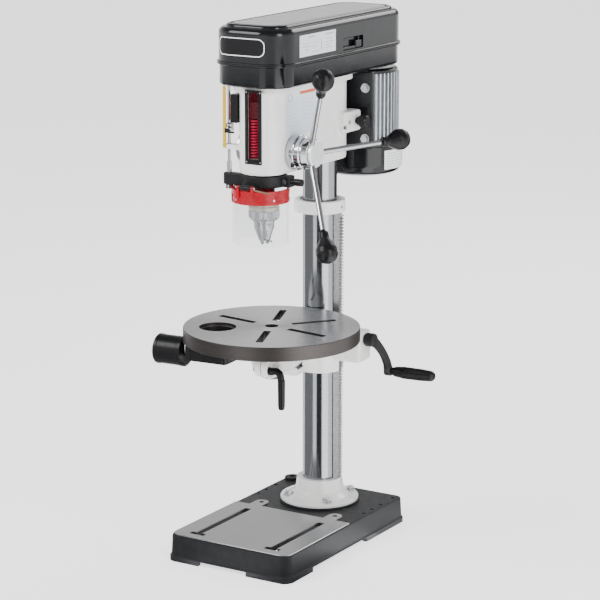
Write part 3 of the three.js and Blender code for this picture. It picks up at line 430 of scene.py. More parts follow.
def eased(points, closed=True, steps=4):
    """Rounds each corner (x, y, radius) of an outline; a corner with no radius stays sharp."""
    out = []
    count = len(points)
    for i, point in enumerate(points):
        here = Vector(point[:2])
        radius = point[2] if len(point) > 2 else 0
        if not radius or (not closed and i in (0, count - 1)):
            out.append(here)
            continue
        back = Vector(points[i - 1][:2]) - here
        on = Vector(points[(i + 1) % count][:2]) - here
        half = back.angle(on) / 2
        reach = min(radius / math.tan(half), back.length * CORNER_SHARE, on.length * CORNER_SHARE)
        start, end = here + back.normalized() * reach, here + on.normalized() * reach
        weight = math.sin(half)
        for k in range(steps + 1):
            t = k / steps
            a, b, c = (1 - t) ** 2, 2 * weight * t * (1 - t), t ** 2
            out.append((start * a + here * b + end * c) / (a + b + c))
    return out


def lathe(profile, axis="z", at=ORIGIN, segments=96, start=0.0, sweep=360.0):
    """Turns a profile of (radius, height, corner radius). A sweep under 360 degrees leaves flat ends."""
    closed = profile[0][0] > ON_AXIS
    points = eased(profile, closed)
    whole = sweep >= 360
    bm = bmesh.new()
    columns = []
    poles = {}
    count = segments if whole else segments + 1
    for s in range(count):
        angle = math.radians(start + sweep * s / segments)
        column = []
        for i, (r, h) in enumerate(points):
            if r > ON_AXIS or not whole:
                column.append(bm.verts.new((r * math.cos(angle), r * math.sin(angle), h)))
                continue
            if i not in poles:
                poles[i] = bm.verts.new((0, 0, h))
            column.append(poles[i])
        columns.append(column)
    spans = len(points) if closed else len(points) - 1
    for s in range(segments):
        left, right = columns[s], columns[(s + 1) % count]
        for i in range(spans):
            j = (i + 1) % len(points)
            corners = list(dict.fromkeys((left[i], left[j], right[j], right[i])))
            if len(corners) > 2:
                bm.faces.new(corners)
    if not whole:
        bm.faces.new(columns[0])
        bm.faces.new(columns[-1])
    bm.transform(Matrix.Translation(at) @ AXES[axis])
    return to_object(bm)


def join_rings(bm, rings):
    """Closes a row of vertex rings into a solid with flat ends."""
    for low, high in zip(rings, rings[1:]):
        for i in range(len(low)):
            j = (i + 1) % len(low)
            bm.faces.new((low[i], low[j], high[j], high[i]))
    bm.faces.new(rings[0])
    bm.faces.new(rings[-1])


def loft(levels, axis="z", at=ORIGIN):
    """Joins outlines of equal point count, each given as (points, height), and closes both ends."""
    bm = bmesh.new()
    join_rings(bm, [[bm.verts.new((x, y, h)) for x, y in outline] for outline, h in levels])
    bm.transform(Matrix.Translation(at) @ AXES[axis])
    return to_object(bm)


def prism(outline, low, high, axis="z", at=ORIGIN):
    return loft([(outline, low), (outline, high)], axis, at)


def rectangle(x0, y0, x1, y1, front=4.0, back=None, steps=8):
    """A rectangle's outline with one radius for its front corners and, where given, another for the back."""
    back = front if back is None else back
    return eased([(x0, y0, front), (x1, y0, front), (x1, y1, back), (x0, y1, back)], steps=steps)


def slab(x, y, z, ease=1.0):
    """A block between two values on each axis, with eased vertical and horizontal edges."""
    shape = prism(rectangle(x[0], y[0], x[1], y[1], 0), z[0], z[1])
    return bevelled(shape, ease, 3) if ease else shape


def rod(axis, radius, low, high, at=ORIGIN, ease=0.6, segments=48):
    return lathe([(0, low), (radius, low, ease), (radius, high, ease), (0, high)], axis, at, segments)


def bore(axis, radius, low, high, at=ORIGIN, segments=48):
    """A rod with sharp ends, to cut a hole with."""
    return rod(axis, radius, low, high, at, 0, segments)


def on_circle(radius, angle, middle=(0, 0)):
    return Vector((middle[0] + radius * math.cos(angle), middle[1] + radius * math.sin(angle)))


def hexagon(axis, across, low, high, at):
    outline = [on_circle(across / math.sqrt(3), math.radians(60 * k)) for k in range(6)]
    return bevelled(prism(outline, low, high, axis, at), 0.6, 2)


def sweep_tube(points, radii, segments=24, flatten=1.0):
    """A tube through the points, with a radius at each; flatten squeezes it across the X axis."""
    bm = bmesh.new()
    points = [Vector(point) for point in points]
    side = None
    rings = []
    for i, (point, radius) in enumerate(zip(points, radii)):
        way = (points[min(i + 1, len(points) - 1)] - points[max(i - 1, 0)]).normalized()
        side = way.orthogonal() if side is None else side - way * side.dot(way)
        side.normalize()
        other = way.cross(side)
        ring = []
        for k in range(segments):
            a = 2 * math.pi * k / segments
            offset = (side * math.cos(a) + other * math.sin(a)) * radius
            offset.x *= flatten
            ring.append(bm.verts.new(point + offset))
        rings.append(ring)
    join_rings(bm, rings)
    return to_object(bm)


def along(points, steps=8):
    """Catmull-Rom points through a few given ones."""
    points = [Vector(point) for point in points]
    padded = [points[0] * 2 - points[1], *points, points[-1] * 2 - points[-2]]
    out = []
    for a, b, c, d in zip(padded, padded[1:], padded[2:], padded[3:]):
        for k in range(steps):
            t = k / steps
            out.append(0.5 * ((2 * b) + (c - a) * t + (2 * a - 5 * b + 4 * c - d) * t ** 2
                              + (3 * b - a - 3 * c + d) * t ** 3))
    out.append(points[-1])
    return out


def swung(shape, angle, at=SPIN):
    """Turns a shape about the vertical axis and moves it to a place."""
    shape.data.transform(Matrix.Translation(at) @ Matrix.Rotation(angle, 4, "Z"))
    return shape


def aimed(shape, way, at):
    """Turns a shape that was drawn up the Z axis to point along a direction, and moves it to a place."""
    turn = way.to_track_quat("Z", "Y").to_matrix().to_4x4()
    shape.data.transform(Matrix.Translation(at) @ turn)
    return shape


def settle(shape):
    """Applies a shape's modifiers."""
    bpy.context.view_layer.update()
    graph = bpy.context.evaluated_depsgraph_get()
    mesh = bpy.data.meshes.new_from_object(shape.evaluated_get(graph))
    shape.modifiers.clear()
    shape.data = mesh
    return shape


def combine(shape, others, operation):
    for other in others:
        modifier = shape.modifiers.new("cut", "BOOLEAN")
        modifier.operation = operation
        modifier.object = other
        modifier.solver = "EXACT"
    settle(shape)
    for other in others:
        bpy.data.objects.remove(other)
    return shape


def carve(shape, *tools):
    return combine(shape, tools, "DIFFERENCE")


def fuse(shape, *others):
    return combine(shape, others, "UNION")


def bevelled(shape, width, segments=3, angle=32):
    modifier = shape.modifiers.new("edges", "BEVEL")
    modifier.width = width
    modifier.segments = segments
    modifier.limit_method = "ANGLE"
    modifier.angle_limit = math.radians(angle)
    modifier.harden_normals = False
    return settle(shape)


def cast(shape, voxel, passes):
    """Turns sharp joined solids into one casting with small fillets."""
    remesh = shape.modifiers.new("cast", "REMESH")
    remesh.mode = "VOXEL"
    remesh.voxel_size = voxel
    smooth = shape.modifiers.new("fillet", "SMOOTH")
    smooth.factor = FILLET_FACTOR
    smooth.iterations = passes
    thin = shape.modifiers.new("thin", "DECIMATE")
    thin.ratio = KEPT_FACES
    return settle(shape)


def merge(*shapes):
    """Puts separate solids into one piece without cutting them."""
    bm = bmesh.new()
    for shape in shapes:
        bm.from_mesh(shape.data)
        bpy.data.objects.remove(shape)
    mesh = bpy.data.meshes.new("merged")
    bm.to_mesh(mesh)
    bm.free()
    return linked("merged", mesh)


def finish(mesh, look, angle):
    """Gives a mesh its look, and smooth shading up to an angle in degrees."""
    mesh.materials.clear()
    mesh.materials.append(look)
    mesh.shade_smooth()
    mesh.set_sharp_from_angle(angle=math.radians(angle))


def even_normals(shape):
    """Keeps the shading of large flat faces flat beside their rounded edges."""
    weigh = shape.modifiers.new("even", "WEIGHTED_NORMAL")
    weigh.keep_sharp = True
    weigh.weight = FLAT_WEIGHT
    name = shape.data.name
    settle(shape)
    shape.data.name = name


def piece(name, shape, look, body, slot, replaces=(), place=MACHINE, angle=32, side_look=None):
    """Finishes a shape: takes it into the row's frame, gives it its look and rides it on a body."""
    mesh = shape.data
    mesh.transform(place)
    mesh.name = shape.name = name
    finish(mesh, look, angle)
    if side_look:
        mesh.materials.append(side_look)
        for polygon in mesh.polygons:
            polygon.material_index = 0 if polygon.normal.z > FACES_UP else 1
    even_normals(shape)
    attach(shape, body)
    if replaces:
        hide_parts(*([replaces] if isinstance(replaces, str) else replaces))
    return shape


def dress(look, *nodes):
    """Gives kept CAD nodes their look."""
    for node in nodes:
        finish(frame["nodes"][node].data, look, 30)


# ---- base and column ----------------------------------------------------------------------
BASE_LOW, BASE_HIGH = machine_box("base_casting")
BASE_WALL = 9
WORK_FACE_TOP = machine_point(frame["record"]["mounts"][1]["pos_m"]).z
WORK_FACE_BACK = -97
BASE_TOP = WORK_FACE_TOP - 1.6
EAR_X, EAR_Y, EAR_R, EAR_HOLE = 78.5, -76, 13, 4.6
SLOT_X, SLOT_HALF, SLOT_T_HALF = 78, 6.6, 15
SIDE_HOLE_X, SIDE_HOLE_R = 113.8, 3.4
LUG_AT = (-108, 80, 0)
# Heights between which a cutter goes right through the top of the base.
THROUGH_BASE = (20, 70)
COLUMN_R = machine_box("column_tube")[1].x
COLUMN_BORE = COLUMN_R + 0.3
FLANGE_BOLTS = [on_circle(59, math.radians(degrees)) for degrees in (45, 135, 225, 315)]


def base_outline(inset):
    return rectangle(BASE_LOW.x + inset, BASE_LOW.y + inset, BASE_HIGH.x - inset, BASE_HIGH.y - inset,
                     18 - inset * 0.3, 12 - inset * 0.3)


def slot_cutters():
    """The two T-ended clamping slots."""
    cutters = []
    for x in (-SLOT_X, SLOT_X):
        cutters.append(slab((x - SLOT_HALF, x + SLOT_HALF), (-288, -121), THROUGH_BASE, 0))
        cutters.append(slab((x - SLOT_T_HALF, x + SLOT_T_HALF), (-293, -282), THROUGH_BASE, 0))
    return cutters


def ear_bores():
    """The bolt holes in the two ears of the work face."""
    return [bore("z", EAR_HOLE, *THROUGH_BASE, (x, EAR_Y, 0), 24) for x in (-EAR_X, EAR_X)]


def add_base():
    top = BASE_TOP
    body = loft([(base_outline(inset), z) for inset, z in (
        (0, 0), (0, 9), (2.2, 12.5), (3.6, top - 3), (4.4, top - 1), (6.4, top))])
    lug = lathe([(0, top - 2), (15, top - 2), (15, top + 4.6, 2), (0, top + 4.6)], at=LUG_AT)
    column_seat = lathe([(0, top - 3), (73.5, top - 3), (73.5, top + 3.2, 1.5), (0, top + 3.2)])
    body = fuse(body, lug, column_seat)
    hollow = prism(rectangle(BASE_LOW.x + BASE_WALL, BASE_LOW.y + BASE_WALL, BASE_HIGH.x - BASE_WALL,
                             BASE_HIGH.y - BASE_WALL, 8), -5, top - BASE_WALL)
    # The gaps between the feet: front, back, left and right.
    gaps = [slab(x, y, (-5, 8), 0) for x, y in (
        ((-60, 40), (BASE_LOW.y - 5, BASE_LOW.y + 30)),
        ((-60, 60), (BASE_HIGH.y - 30, BASE_HIGH.y + 5)),
        ((-BASE_HIGH.x - 5, -BASE_HIGH.x + 30), (-232, -45)),
        ((BASE_HIGH.x - 30, BASE_HIGH.x + 5), (-232, -45)))]
    hole_places = [(x, y, 0) for x in (-SIDE_HOLE_X, SIDE_HOLE_X) for y in (-31.5, -3.7, 29.4)]
    holes = [bore("z", SIDE_HOLE_R, *THROUGH_BASE, at, 20) for at in (*hole_places, (SIDE_HOLE_X, 74, 0))]
    holes.append(bore("z", 6, *THROUGH_BASE, LUG_AT, 24))
    body = carve(body, hollow, *gaps, *holes, *ear_bores(), *slot_cutters())
    piece("base_body", bevelled(body, 0.8, 2, 40), BASE, "stand", "base_paint", "base_casting")

    inset, low = 6.2, top - 1
    outline = rectangle(BASE_LOW.x + inset, BASE_LOW.y + inset, BASE_HIGH.x - inset, WORK_FACE_BACK, 16, 0.3)
    face = prism(outline, low, WORK_FACE_TOP)
    ears = []
    for x in (-EAR_X, EAR_X):
        ears.append(slab((x - EAR_R, x + EAR_R), (WORK_FACE_BACK - 5, EAR_Y), (low, WORK_FACE_TOP), 0))
        ears.append(rod("z", EAR_R, low, WORK_FACE_TOP, (x, EAR_Y, 0), 0, 40))
    face = carve(fuse(face, *ears), *ear_bores(), *slot_cutters())
    piece("work_face", bevelled(face, 0.5, 2, 40), GROUND, "stand", "ground_iron")


def add_flange():
    low, high = machine_box("column_flange")
    bottom, seat = low.z, low.z + 9
    flange = lathe([(COLUMN_BORE, bottom), (72, bottom, 0.8), (72, bottom + 5.4, 2), (56, seat, 6),
                    (44.5, bottom + 17, 9), (41.5, high.z, 1.6), (COLUMN_BORE, high.z, 0.6)], segments=128)
    pockets = [bore("z", 10, seat, bottom + 40, (x, y, 0), 32) for x, y in FLANGE_BOLTS]
    piece("flange_casting", bevelled(carve(flange, *pockets), 0.8, 2, 40), WHITE, "stand", "white_paint",
          "column_flange")
    washer_top = bottom + 10.4
    for i, (x, y) in enumerate(FLANGE_BOLTS):
        at = (x, y, 0)
        washer = lathe([(3, seat), (8.6, seat, 0.3), (8.6, washer_top, 0.3), (3, washer_top)], "z", at, 40)
        bolt = merge(hexagon("z", 12.6, washer_top, bottom + 16.4, at), washer,
                     rod("z", 4.6, bottom - 20, bottom + 11, at))
        piece(f"flange_bolt_head_{i + 1}", bolt, ZINC, "stand", "zinc_plate", f"flange_bolt_{i + 1}")


def add_column():
    low, high = machine_box("column_tube")
    tube = lathe([(27, low.z), (COLUMN_R, low.z, 0.5), (COLUMN_R, high.z, 0.8), (27, high.z)], segments=160)
    piece("column_steel_tube", tube, COLUMN_STEEL, "stand", "polished_steel", "column_tube")

    low, high = machine_box("rack_collar")
    at = (0, 0, (low.z + high.z) / 2)
    collar = lathe([(COLUMN_BORE, low.z + 1), (38, low.z, 0.8), (high.x, low.z, 1.6), (high.x, high.z, 1.8),
                    (37.5, high.z, 1), (35, high.z - 5, 1), (COLUMN_BORE, high.z - 5)], segments=128)
    piece("collar_ring", carve(collar, bore("x", 3.2, 40, 60, at, 24)), WHITE, "stand", "white_paint",
          "rack_collar")
    screw = carve(rod("x", 2.9, 33, 44, at), hexagon("x", 2.8, 41, 50, at))
    piece("collar_screw", screw, DARK_STEEL, "stand", "dark_steel")
    dress(RACK_STEEL, "lift_rack")


# ---- table group --------------------------------------------------------------------------
TILT = joint_point("tilt_turn", TABLE_ARM)
CRANK = joint_point("crank_turn", TABLE_ARM)
CRANK_AXIS = (0, 0, CRANK.z)
GRIP = joint_point("crank_grip_spin", TABLE_ARM)
GRIP_AXIS = (0, GRIP.y, GRIP.z)
LIFT_GEAR = joint_point("lift_gear_turn", TABLE_ARM)
TILT_AXIS = (0, 0, TILT.z)
TABLE_LOW, TABLE_HIGH = machine_box("table_disc")
TABLE_R = (TABLE_HIGH.y - TABLE_LOW.y) / 2
TABLE_TOP = TABLE_HIGH.z
TABLE_BOTTOM = TABLE_TOP - 25
# Heights between which a cutter goes right through the table.
THROUGH_TABLE = (370, 440)
TABLE_SLOTS = (-12.5, 47.5, 107.5, 167.5, 287.5)
SANDING = Vector((-80.5, -49.1 - THROAT, 0))
SANDING_R = 32.7
PORT_AXIS = (0, SANDING.y, 376)
ARM_BOTTOM, ARM_TOP = 299, 372
COLUMN_LOCK = (0, 52, 336)
TABLE_LOCK = (0, -THROAT - 35, 347)


def arm_piece(name, shape, look, body, slot, replaces=(), **more):
    return piece(name, shape, look, body, slot, replaces, place=TABLE_ARM, **more)


def add_table():
    r, web_bottom, web_top = TABLE_R, TABLE_BOTTOM + 12, TABLE_TOP - 5
    disc = lathe([(0, web_bottom), (r - 15, web_bottom, 4), (r - 12, TABLE_BOTTOM, 1), (r, TABLE_BOTTOM, 1),
                  (r, TABLE_TOP, 1.2), (0, TABLE_TOP)], at=SPIN, segments=180)
    stem = lathe([(0, 326), (16, 326, 1), (16, TABLE_BOTTOM, 3), (30, TABLE_BOTTOM, 3), (36, web_top),
                  (0, web_top)], at=SPIN, segments=64)
    wall = rod("z", SANDING_R + 7, TABLE_BOTTOM, web_top, SANDING, 1)
    slots = [swung(prism(rectangle(38, -6.5, 120, 6.5, 2), *THROUGH_TABLE), math.radians(degrees))
             for degrees in TABLE_SLOTS]
    holes = [bore("z", SANDING_R - 4, *THROUGH_TABLE, SANDING, 96),
             bore("z", SANDING_R, TABLE_TOP - 6, THROUGH_TABLE[1], SANDING, 96),
             bore("z", 12, 300, THROUGH_TABLE[1], SPIN, 64)]
    disc = bevelled(carve(fuse(disc, stem, wall), *slots, *holes), 0.5, 2, 45)
    # The rim and other side faces take the darker look, which is painted shade.
    arm_piece("round_table", disc, TABLE_FACE, "table", "ground_iron", "table_disc", side_look=TABLE_RIM_SHADE)


def add_dust_parts():
    x, y = SANDING.x, SANDING.y
    low, high = 360.5, TABLE_BOTTOM - 0.4
    box = bevelled(prism(rectangle(x - 46, y - 34, x + 34, y + 34, 8), low, high), 1.4, 3)
    spigot = rod("x", 15.8, x - 60, x - 44, PORT_AXIS)
    tabs = [slab((x - 46, x - 38), (y + side * 30 - 5, y + side * 30 + 5), (low - 0.2, high), 0.8)
            for side in (-1, 1)]
    hollow = prism(rectangle(x - 43, y - 31, x + 31, y + 31, 6), low + 2.4, high + 5)
    chute = carve(fuse(box, spigot, *tabs), hollow, bore("x", 13, x - 62, x - 30, PORT_AXIS))
    arm_piece("chute_box", chute, PLASTIC, "table", "black_plastic", "dust_chute")

    start, end = x - 57.5, x - 49.5
    band = lathe([(15.9, start), (17.6, start, 0.4), (17.6, end, 0.4), (15.9, end)], "x", PORT_AXIS, 64)
    arm_piece("port_clamp_band", band, ZINC, "table", "zinc_plate")

    near, far, rim = x - 60.3, x - 118.3, 26.9
    cup = lathe([(0, near - 3), (24, near - 3, 3), (24.4, far, 0.6), (rim, far, 0.6), (rim, far + 6, 0.4),
                 (26.2, far + 7, 0.4), (26.2, near - 12, 0.4), (rim, near - 11, 0.4), (rim, near - 4, 2),
                 (22, near, 2), (0, near)], "x", (0, y, 367), 128)
    cup = carve(cup, bore("x", 13, near - 12, near + 5, PORT_AXIS))
    arm_piece("port_cup", cup, PLASTIC, "table", "black_plastic", "dust_port")


def add_table_arm():
    neck_r, gear_reach, gear_half, shaft_r, shaft_half = 31, 15, 7.7, 5.5, 17.7
    sleeve = lathe([(0, ARM_BOTTOM), (43.7, ARM_BOTTOM, 2), (43.7, ARM_TOP, 2), (0, ARM_TOP)], segments=96)
    neck = lathe([(0, TILT.y), (neck_r - 0.2, TILT.y, 1), (neck_r - 0.2, -62, 20), (39.5, -6), (0, 0)], "y",
                 TILT_AXIS)
    web = slab((-13, 13), (-120, 0), (312.5, TILT.z), 2)
    over = slab((-60, 60), (-60, 60), (ARM_TOP - 0.2, 500), 0)
    housing = bevelled(slab((22, 91.7), (-23.7, 25.7), (322.3, 377.7), 0), 5, 5)
    housing_cap = rod("x", 17, 60, 91.9, (0, 0, CRANK.z - 3), 2)
    clamp_ear = slab((-13.8, 13.8), (30, 61.8), (310, 361.8), 5)
    body = cast(fuse(carve(fuse(sleeve, neck, web), over), housing, housing_cap, clamp_ear), 1.7, 5)
    x, z = LIFT_GEAR.x, LIFT_GEAR.z
    gear_axis = (x, 0, z)
    body = carve(
        body,
        # The column, and the channel for its rack.
        bore("z", COLUMN_R + 0.5, 200, 500, ORIGIN, 128),
        slab((0, 46.2), (-gear_half, gear_half), (200, 500), 0),
        # The lift gear and its shaft, open downwards, and the crank's worm.
        bore("y", gear_reach, -gear_half, gear_half, gear_axis),
        slab((x - gear_reach, x + gear_reach), (-gear_half, gear_half), (200, z), 0),
        bore("y", shaft_r, -shaft_half, shaft_half, gear_axis),
        slab((x - shaft_r, x + shaft_r), (-shaft_half, shaft_half), (200, z), 0),
        bore("x", 9.1, 45.2, 120, CRANK_AXIS),
        # The sleeve's split with its lock lever, and the tilt stud.
        slab((-1.6, 1.6), (20, 70), (290, 380), 0),
        bore("x", 5.5, -30, 30, COLUMN_LOCK),
        bore("y", 8.5, TILT.y - 1, -110, TILT_AXIS),
    )
    arm_piece("arm_casting", body, WHITE, "arm", "white_paint", "table_arm", angle=40)

    low, high = neck_r - 3, neck_r + 0.4
    washer = lathe([(0, low), (8.4, low, 0.4), (8.4, high, 0.4), (0, high)], segments=40)
    bolt = merge(hexagon("z", 12, neck_r - 1, neck_r + 5.5, ORIGIN), washer)
    lean = Matrix.Rotation(math.radians(140), 4, "Y")
    bolt.data.transform(Matrix.Translation((0, -122, TILT.z)) @ lean)
    arm_piece("tilt_lock_bolt", bolt, DARK_STEEL, "arm", "dark_steel")


def add_tilt_bracket():
    front, back, step = -THROAT - 22, TILT.y - 0.4, -THROAT - 19.5
    disc = lathe([(0, front), (28, front, 1.5), (28, step, 0.6), (30.9, step, 1.4), (30.9, back - 4, 0.6),
                  (29.8, back - 3, 0.4), (29.8, back, 0.5), (0, back)], "y", TILT_AXIS, 128)
    hub = rod("z", 26.8, TILT.z, TABLE_BOTTOM - 0.5, SPIN, 1)
    ears = (slab((-12.8, 12.8), (-THROAT - 23, -THROAT), (332.4, 371.6), 0),
            rod("x", 19.6, -12.8, 12.8, (0, -THROAT - 23.2, 352), 1.5, 96))
    body = fuse(disc, hub, *ears, rod("y", 8, TILT.y - 2, -112, TILT_AXIS))
    split = slab((-1, 1), (-THROAT - 50, -THROAT), (300, 400), 0)
    body = carve(body, bore("z", 16.4, 322, 400, SPIN, 64), split, bore("x", 5, -20, 20, TABLE_LOCK))
    arm_piece("tilt_bracket_casting", bevelled(body, 0.8, 3, 40), WHITE, "tilt", "white_paint",
              "tilt_bracket")


def add_levers():
    _, y, z = TABLE_LOCK
    hub = lathe([(0, 13.4), (7, 13.4, 0.6), (7, 20, 0.6), (6, 21, 0.4), (6, 24, 1), (0, 24)], "x",
                TABLE_LOCK, 48)
    stud = rod("x", 4.4, -16, 15, TABLE_LOCK)
    bend = along([(19, y, z + 0.5), (28, y, z + 1), (35, y, z - 4), (37, y, z - 15)])
    elbow = sweep_tube(bend, [6.3] * len(bend), 28)
    grip = lathe([(0, -67), (5, -67, 2), (6.2, -60, 1), (6.6, -14, 1.5), (5.4, -12, 0.5), (0, -12)], "z",
                 (37.6, y, z), 48)
    arm_piece("table_lock_handle", merge(hub, stud, elbow, grip), PLASTIC, "table_lock", "black_plastic",
              "table_lock_lever")

    boss = lathe([(0, -46), (9, -46, 1.5), (9, -14.4, 0.8), (0, -14.4)], "x", COLUMN_LOCK)
    line = along([(-41, 54, 330), (-43.5, 70, 304), (-46, 91, 264)])
    handle = sweep_tube(line, [6 + 0.12 * k for k in range(len(line))])
    stud, nut = rod("x", 4.9, -20, 20, COLUMN_LOCK), hexagon("x", 13.6, 14.5, 21.8, COLUMN_LOCK)
    arm_piece("column_lock_handle", merge(stud, boss, nut, handle), PLASTIC, "column_lock", "black_plastic",
              "column_lock_lever")


def add_crank():
    dress(DARK_STEEL, "lift_gear", "crank_worm")
    hub = lathe([(0, 94.6), (12.4, 94.6, 1.5), (12.4, 110, 2), (10.5, 112.4, 1), (0, 112.4)], "x",
                CRANK_AXIS, 64)
    # The arm's centre line, as shares of the way from the crank's axis to the grip's.
    line = ((104, 0, 0), (105.5, 0.4, 0.16), (110, 0.78, 0.45), (114.5, 0.98, 0.75), (118, 1, 1))
    path = along([(x, GRIP.y * dy, CRANK.z + (GRIP.z - CRANK.z) * dz) for x, dy, dz in line], 6)
    radii = [11 - 2.2 * math.sin(math.pi * i / (len(path) - 1)) for i in range(len(path))]
    arm = sweep_tube(path, radii, 28, flatten=0.72)
    end = rod("x", 8.8, 111.6, 124.4, GRIP_AXIS, 1.5)
    screw = hexagon("x", 5, 112, 113.2, CRANK_AXIS)
    crank = carve(fuse(arm, hub, end), bore("x", 5.4, 90, 111.3, CRANK_AXIS),
                  bore("x", 4.4, 116, 130, GRIP_AXIS))
    arm_piece("crank_body", merge(bevelled(crank, 0.5, 2, 50), screw), CRANK_BLACK, "crank", "black_plastic",
              "crank_arm")
    grip = lathe([(0, 116.5), (3.9, 116.5), (3.9, 126), (7, 126, 1), (7.6, 128, 1), (9.4, 133, 4),
                  (11.2, 150, 10), (10.9, 185, 14), (9.4, 205, 3), (6, 209.3, 2), (0, 209.3)],
                 "x", GRIP_AXIS, 96)
    arm_piece("crank_handle", grip, PLASTIC, "crank_grip", "black_plastic", "crank_grip")


add_base()
add_flange()
add_column()
add_table()
add_dust_parts()
add_table_arm()
add_tilt_bracket()
add_levers()
add_crank()


# ---- head ---------------------------------------------------------------------------------
NOSE_R, BOSS_R = 42, 47
HEAD_LOW, HEAD_TOP = 690, 838
CASE_BOTTOM = machine_box("case_tray")[0].z
WINDOW_X, WINDOW_LOW, WINDOW_HIGH = 6, 718.9, 833.9
ROD_X, ROD_Y = -58, -THROAT - 20
ROD_AT = (ROD_X, ROD_Y, 0)
BAR_X, BAR_Z = 38.5, joint_point("tension_turn").z
QUILL_BORE = 19.5


def two_circles(front_r, back_r, steps=40, front_y=-THROAT, back_y=0):
    """The outline that wraps a circle at the spindle and one at the column, or any two along Y."""
    turn = math.asin((back_r - front_r) / (back_y - front_y))
    front_half = [on_circle(front_r, -turn - (math.pi - 2 * turn) * k / steps, (0, front_y))
                  for k in range(steps + 1)]
    back_half = [on_circle(back_r, math.pi + turn - (math.pi + 2 * turn) * k / steps, (0, back_y))
                 for k in range(steps + 1)]
    return front_half + back_half


def head_outline(inset):
    return two_circles(NOSE_R - inset, BOSS_R - inset)


def add_head():
    body = loft([(head_outline(1.6), HEAD_LOW), (head_outline(0.2), HEAD_LOW + 2.5),
                 (head_outline(0.2), HEAD_TOP)])
    flange = prism(rectangle(-51.8, -THROAT - 35.8, 51.8, 45.8, 28), HEAD_TOP - 7.8, CASE_BOTTOM - 0.5)
    pad = slab((WINDOW_X - 16.8, WINDOW_X + 16.8), (-THROAT - 40.4, -THROAT - 10), (709.2, HEAD_TOP - 4), 1.5)
    lug = slab((ROD_X - 10.8, -20), (ROD_Y - 8.3, ROD_Y + 8.3), (729.2, 738.8), 2.5)
    bosses = [slab(x, (-11.8, 47.8), (737.2, 774.8), 4) for x in ((-57.8, -30), (30, 57.8))]
    seats = [rod("x", 26.8, low, high, FEED_AXIS, 2) for low, high in ((-45.8, -20), (20, 40.8))]
    body = cast(fuse(body, flange, pad, lug, *bosses, *seats), 1.7, 6)
    body = carve(
        body,
        # The column and the quill.
        bore("z", COLUMN_R + 0.5, 600, 823, ORIGIN, 128),
        bore("z", QUILL_BORE, 600, 900, SPIN, 96),
        # The feed pinion, its shaft and its hub.
        bore("x", 17, -7.2, 7.2, FEED_AXIS),
        bore("x", 9.5, -80, 80, FEED_AXIS),
        bore("x", 31.8, 41.4, 60, FEED_AXIS, 96),
        # The hollow between column and quill, and the window.
        slab((-33.5, 33.5), (-151.5, -50.5), (750, 900), 0),
        slab((-33.5, 33.5), (-117.5, -50.5), (600, 760), 0),
        slab((WINDOW_X - 11, WINDOW_X + 11), (-THROAT - 60, -THROAT - 20.8), (718.7, 834), 0),
        # The depth rod, the switch box, the motor's slide bars and the tension screw.
        bore("z", 4.8, 700, 760, ROD_AT),
        slab((-60, -32.6), (-THROAT - 35.2, -THROAT - 1.8), (776.5, 827.5), 0),
        bore("y", 6, -60, 70, (BAR_X, 0, BAR_Z)),
        bore("y", 6, -60, 70, (-BAR_X, 0, BAR_Z)),
        bore("x", 5.5, BAR_X, 70, (0, 30, BAR_Z)),
    )
    piece("head_shell", body, WHITE, "stand", "white_paint", "head_casting", angle=40)
    piece("idler_stud", rod("z", 7.9, HEAD_TOP - 2, 929, IDLER_AT), DARK_STEEL, "stand", "dark_steel")
    for i, (y, z) in enumerate(((-8, 748), (6, 756))):
        screw = carve(rod("x", 3.6, 55, 58, (0, y, z), 0.4, 32), hexagon("x", 2.8, 57, 60, (0, y, z)))
        piece(f"boss_screw_{i + 1}", screw, DARK_STEEL, "stand", "dark_steel")
    at = (0, -THROAT + 12, 705)
    stop = merge(rod("x", 3.4, -46, -41, at, 0.4, 32), hexagon("x", 7, -49, -45.5, at))
    piece("quill_stop_screw", stop, ZINC, "stand", "zinc_plate")


def across_window(half, y, z, ease):
    """A block centred on the window's width."""
    return slab((WINDOW_X - half, WINDOW_X + half), y, z, ease)


def add_window():
    y = -THROAT - 43.5
    plate = carve(across_window(16.9, (y, y + 1.1), (710.2, 837.8), 0.3),
                  across_window(10.5, (y - 5, y + 5), (719, 834), 0))
    piece("window_plate", plate, PLASTIC, "stand", "base_paint", "window_frame")
    screws = [lathe([(0, y - 0.05), (1.2, y - 0.05), (1.8, y + 0.4), (0, y + 0.6)], "y", (x, 0, z), 24)
              for x in (WINDOW_X - 13.6, WINDOW_X + 13.6) for z in (714.5, 834)]
    piece("window_screws", merge(*screws), ZINC, "stand", "zinc_plate")
    pane = across_window(10.9, (y + 1.3, y + 2), (WINDOW_LOW, WINDOW_HIGH), 0.1)
    piece("window_glass", pane, PANE, "stand", "clear_plastic")
    inside = (WINDOW_LOW, WINDOW_HIGH - 0.1)
    # A dark red sheet across the back of the window's recess, over the white casting: painted shade of the
    # recess's interior.
    back = across_window(10.7, (-THROAT - 21.3, -THROAT - 20.7), inside, 0.1)
    piece("window_back_shade", back, RED_DARK, "stand", "base_paint")
    # Dark sheets down the recess's sides, over the white casting walls: painted shade.
    side_shades = merge(*[slab((x, x + 0.3), (-THROAT - 40.8, -THROAT - 20.9), inside, 0)
                     for x in (WINDOW_X - 10.95, WINDOW_X + 10.65)])
    piece("window_side_shades", side_shades, RECESS_SIDE_SHADE, "stand", "base_paint")


COIL_TURNS, COIL_STEPS, COIL_R, COIL_WIRE = 13, 20, 7.2, 1.45
COIL_AT = (WINDOW_X - 2.2, -THROAT - 32)
COIL_LOW, COIL_HEIGHT = 720.7, 65.2


